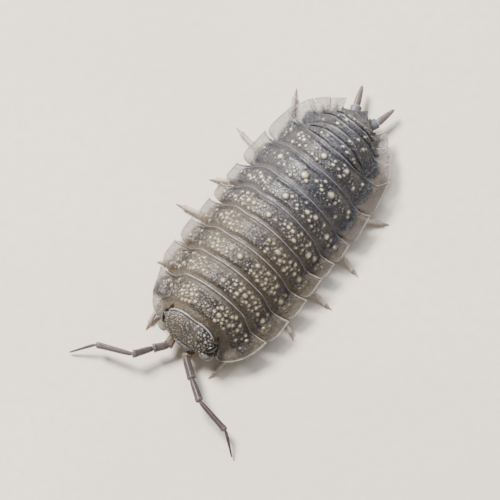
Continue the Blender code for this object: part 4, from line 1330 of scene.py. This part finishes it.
def makeUropods(finish):
    plan = uropodPlan
    chance = random.Random(wartPlan["seed"] + 6)
    for side, word in ((1, "left"), (-1, "right")):
        draft = Draft()
        parts = np.linspace(0.0, 1.0, 36)
        start, end = (placedOn(side, place) for place in plan["base"])
        path = start + (end - start) * parts[:, None]
        swell = plan["baseRadius"] * (0.7 + 0.3 * smooth(parts / 0.4)) * (1 - 0.25 * smooth((parts - 0.94) / 0.06))
        rings = tubeRings(path, swell, 32, flatten=0.62)
        rim = np.repeat(smooth((parts - 0.88) / 0.06), 32)
        draft.add(rings, ringFaces(36, 32), rim=rim, along=0.02)
        start, end = placedOn(side, plan["tipRoot"]), placedOn(side, plan["tipEnd"][word])
        path = start + (end - start) * parts[:, None]
        lance = plan["tipRadius"] * np.minimum(1.0, 0.85 + parts) * (1 - 0.6 * parts ** 1.3)
        lance = lance * (1 - parts ** 14) ** 0.6 + 0.008
        rings = tubeRings(path, lance, 24, 3, 0.05, 0.75)
        draft.add(rings, ringFaces(36, 24), joint=np.repeat(bell(parts, 0.0, 0.04), 24),
                  along=np.repeat(0.3 + 0.7 * parts, 24))
        bristles(draft, path, lance, [chance.uniform(0.2, 0.98) for _ in range(30)], chance, 0.09, 0.8)
        start, end = placedOn(side, plan["innerRoot"]), placedOn(side, plan["innerEnd"])
        path = start + (end - start) * parts[:, None]
        rings = tubeRings(path, 0.11 * (1 - parts ** 3) ** 0.7 + 0.015, 14)
        draft.add(rings, ringFaces(36, 14), along=np.repeat(0.4 + 0.6 * parts, 14))
        piece = draft.build("uropod" + word.title(), finish)
        settle(piece, "uropod", "uropod_base_" + word, "uropod_tip_" + word)
    print("uropods made")


# Floor, light and camera

studio = {
    "floorSize": 3.0,
    "azimuth": 37.3,
    "elevation": 72.0,
    "aim": (-0.40, 8.61, 1.35),      # body millimetres at the middle of the picture
    "frameWidth": 35.64,             # millimetres across the picture there
    "distance": 0.6,
    "lights": {
        # direction from the animal, distance, size, watts, colour
        "keyLight": ((-0.85, 0.15, 1.05), 0.45, 0.15, 6.4, (1.0, 0.97, 0.93)),
        "skyLight": ((-0.1, 0.7, 1.3), 0.55, 0.4, 1.3, (0.84, 0.91, 1.0)),
        "fillLight": ((0.9, -0.7, 0.8), 0.6, 0.5, 0.4, (1.0, 0.95, 0.9)),
    },
    "worldColour": (0.92, 0.95, 1.0, 1.0),
    "worldStrength": 0.26,
}


def makeStudio(floorFinish):
    half = studio["floorSize"] / 2
    mesh = bpy.data.meshes.new("paleFloor")
    corners = [(-half, -half, 0), (half, -half, 0), (half, half, 0), (-half, half, 0)]
    mesh.from_pydata(corners, [], [(0, 1, 2, 3)])
    mesh.materials.append(floorFinish)
    floor = bpy.data.objects.new("paleFloor", mesh)
    bpy.context.scene.collection.objects.link(floor)
    middle = Vector(studio["aim"]) * mm + origin
    for name, (direction, distance, size, watts, tint) in studio["lights"].items():
        lamp = bpy.data.lights.new(name, "AREA")
        lamp.size = size
        lamp.energy = watts
        lamp.color = tint
        holder = bpy.data.objects.new(name, lamp)
        bpy.context.scene.collection.objects.link(holder)
        holder.location = middle + Vector(direction).normalized() * distance
        holder.rotation_euler = Vector(direction).to_track_quat("Z", "Y").to_euler()
    world = bpy.data.worlds.new("softRoom")
    world.use_nodes = True
    backdrop = world.node_tree.nodes["Background"]
    backdrop.inputs["Color"].default_value = studio["worldColour"]
    backdrop.inputs["Strength"].default_value = studio["worldStrength"]
    bpy.context.scene.world = world
    azimuth, elevation = math.radians(studio["azimuth"]), math.radians(studio["elevation"])
    back = Vector((math.sin(azimuth) * math.cos(elevation), -math.cos(azimuth) * math.cos(elevation),
                   math.sin(elevation)))
    camera = bpy.data.cameras.new("camera")
    camera.sensor_width = 36.0
    camera.lens = 36.0 * studio["distance"] / (studio["frameWidth"] * mm)
    viewer = bpy.data.objects.new("camera", camera)
    bpy.context.scene.collection.objects.link(viewer)
    viewer.location = middle + back * studio["distance"]
    viewer.rotation_euler = (-back).to_track_quat("-Z", "Y").to_euler()
    bpy.context.scene.camera = viewer
    print("studio ready")


origin = findOrigin()
for makeGroup in (makePatches, makeGrain, makeWartPaint, makeRimAndSheenPaint):
    makeGroup()
shellFinish = makeShellFinish("shell", shellLook)
headFinish = makeShellFinish("headShell", headLook)
limbFinishes = {name: makeLimbFinish(name + "Skin", look) for name, look in limbLook.items()}
bellyFinish = makeBellyFinish()
makeBroadPlates(shellFinish)
makeTail(shellFinish)
makeTelson(shellFinish)
makeHead(headFinish)
makeLobes(headFinish)
makeEyes(makeEyeFinish())
makeFeelers(limbFinishes["feeler"])
makeLegs(limbFinishes["leg"])
makeUropods(limbFinishes["uropod"])
makeBelly(bellyFinish)
makeMouth(bellyFinish)
makeStudio(makeFloorFinish())

bpy.context.view_layer.update()
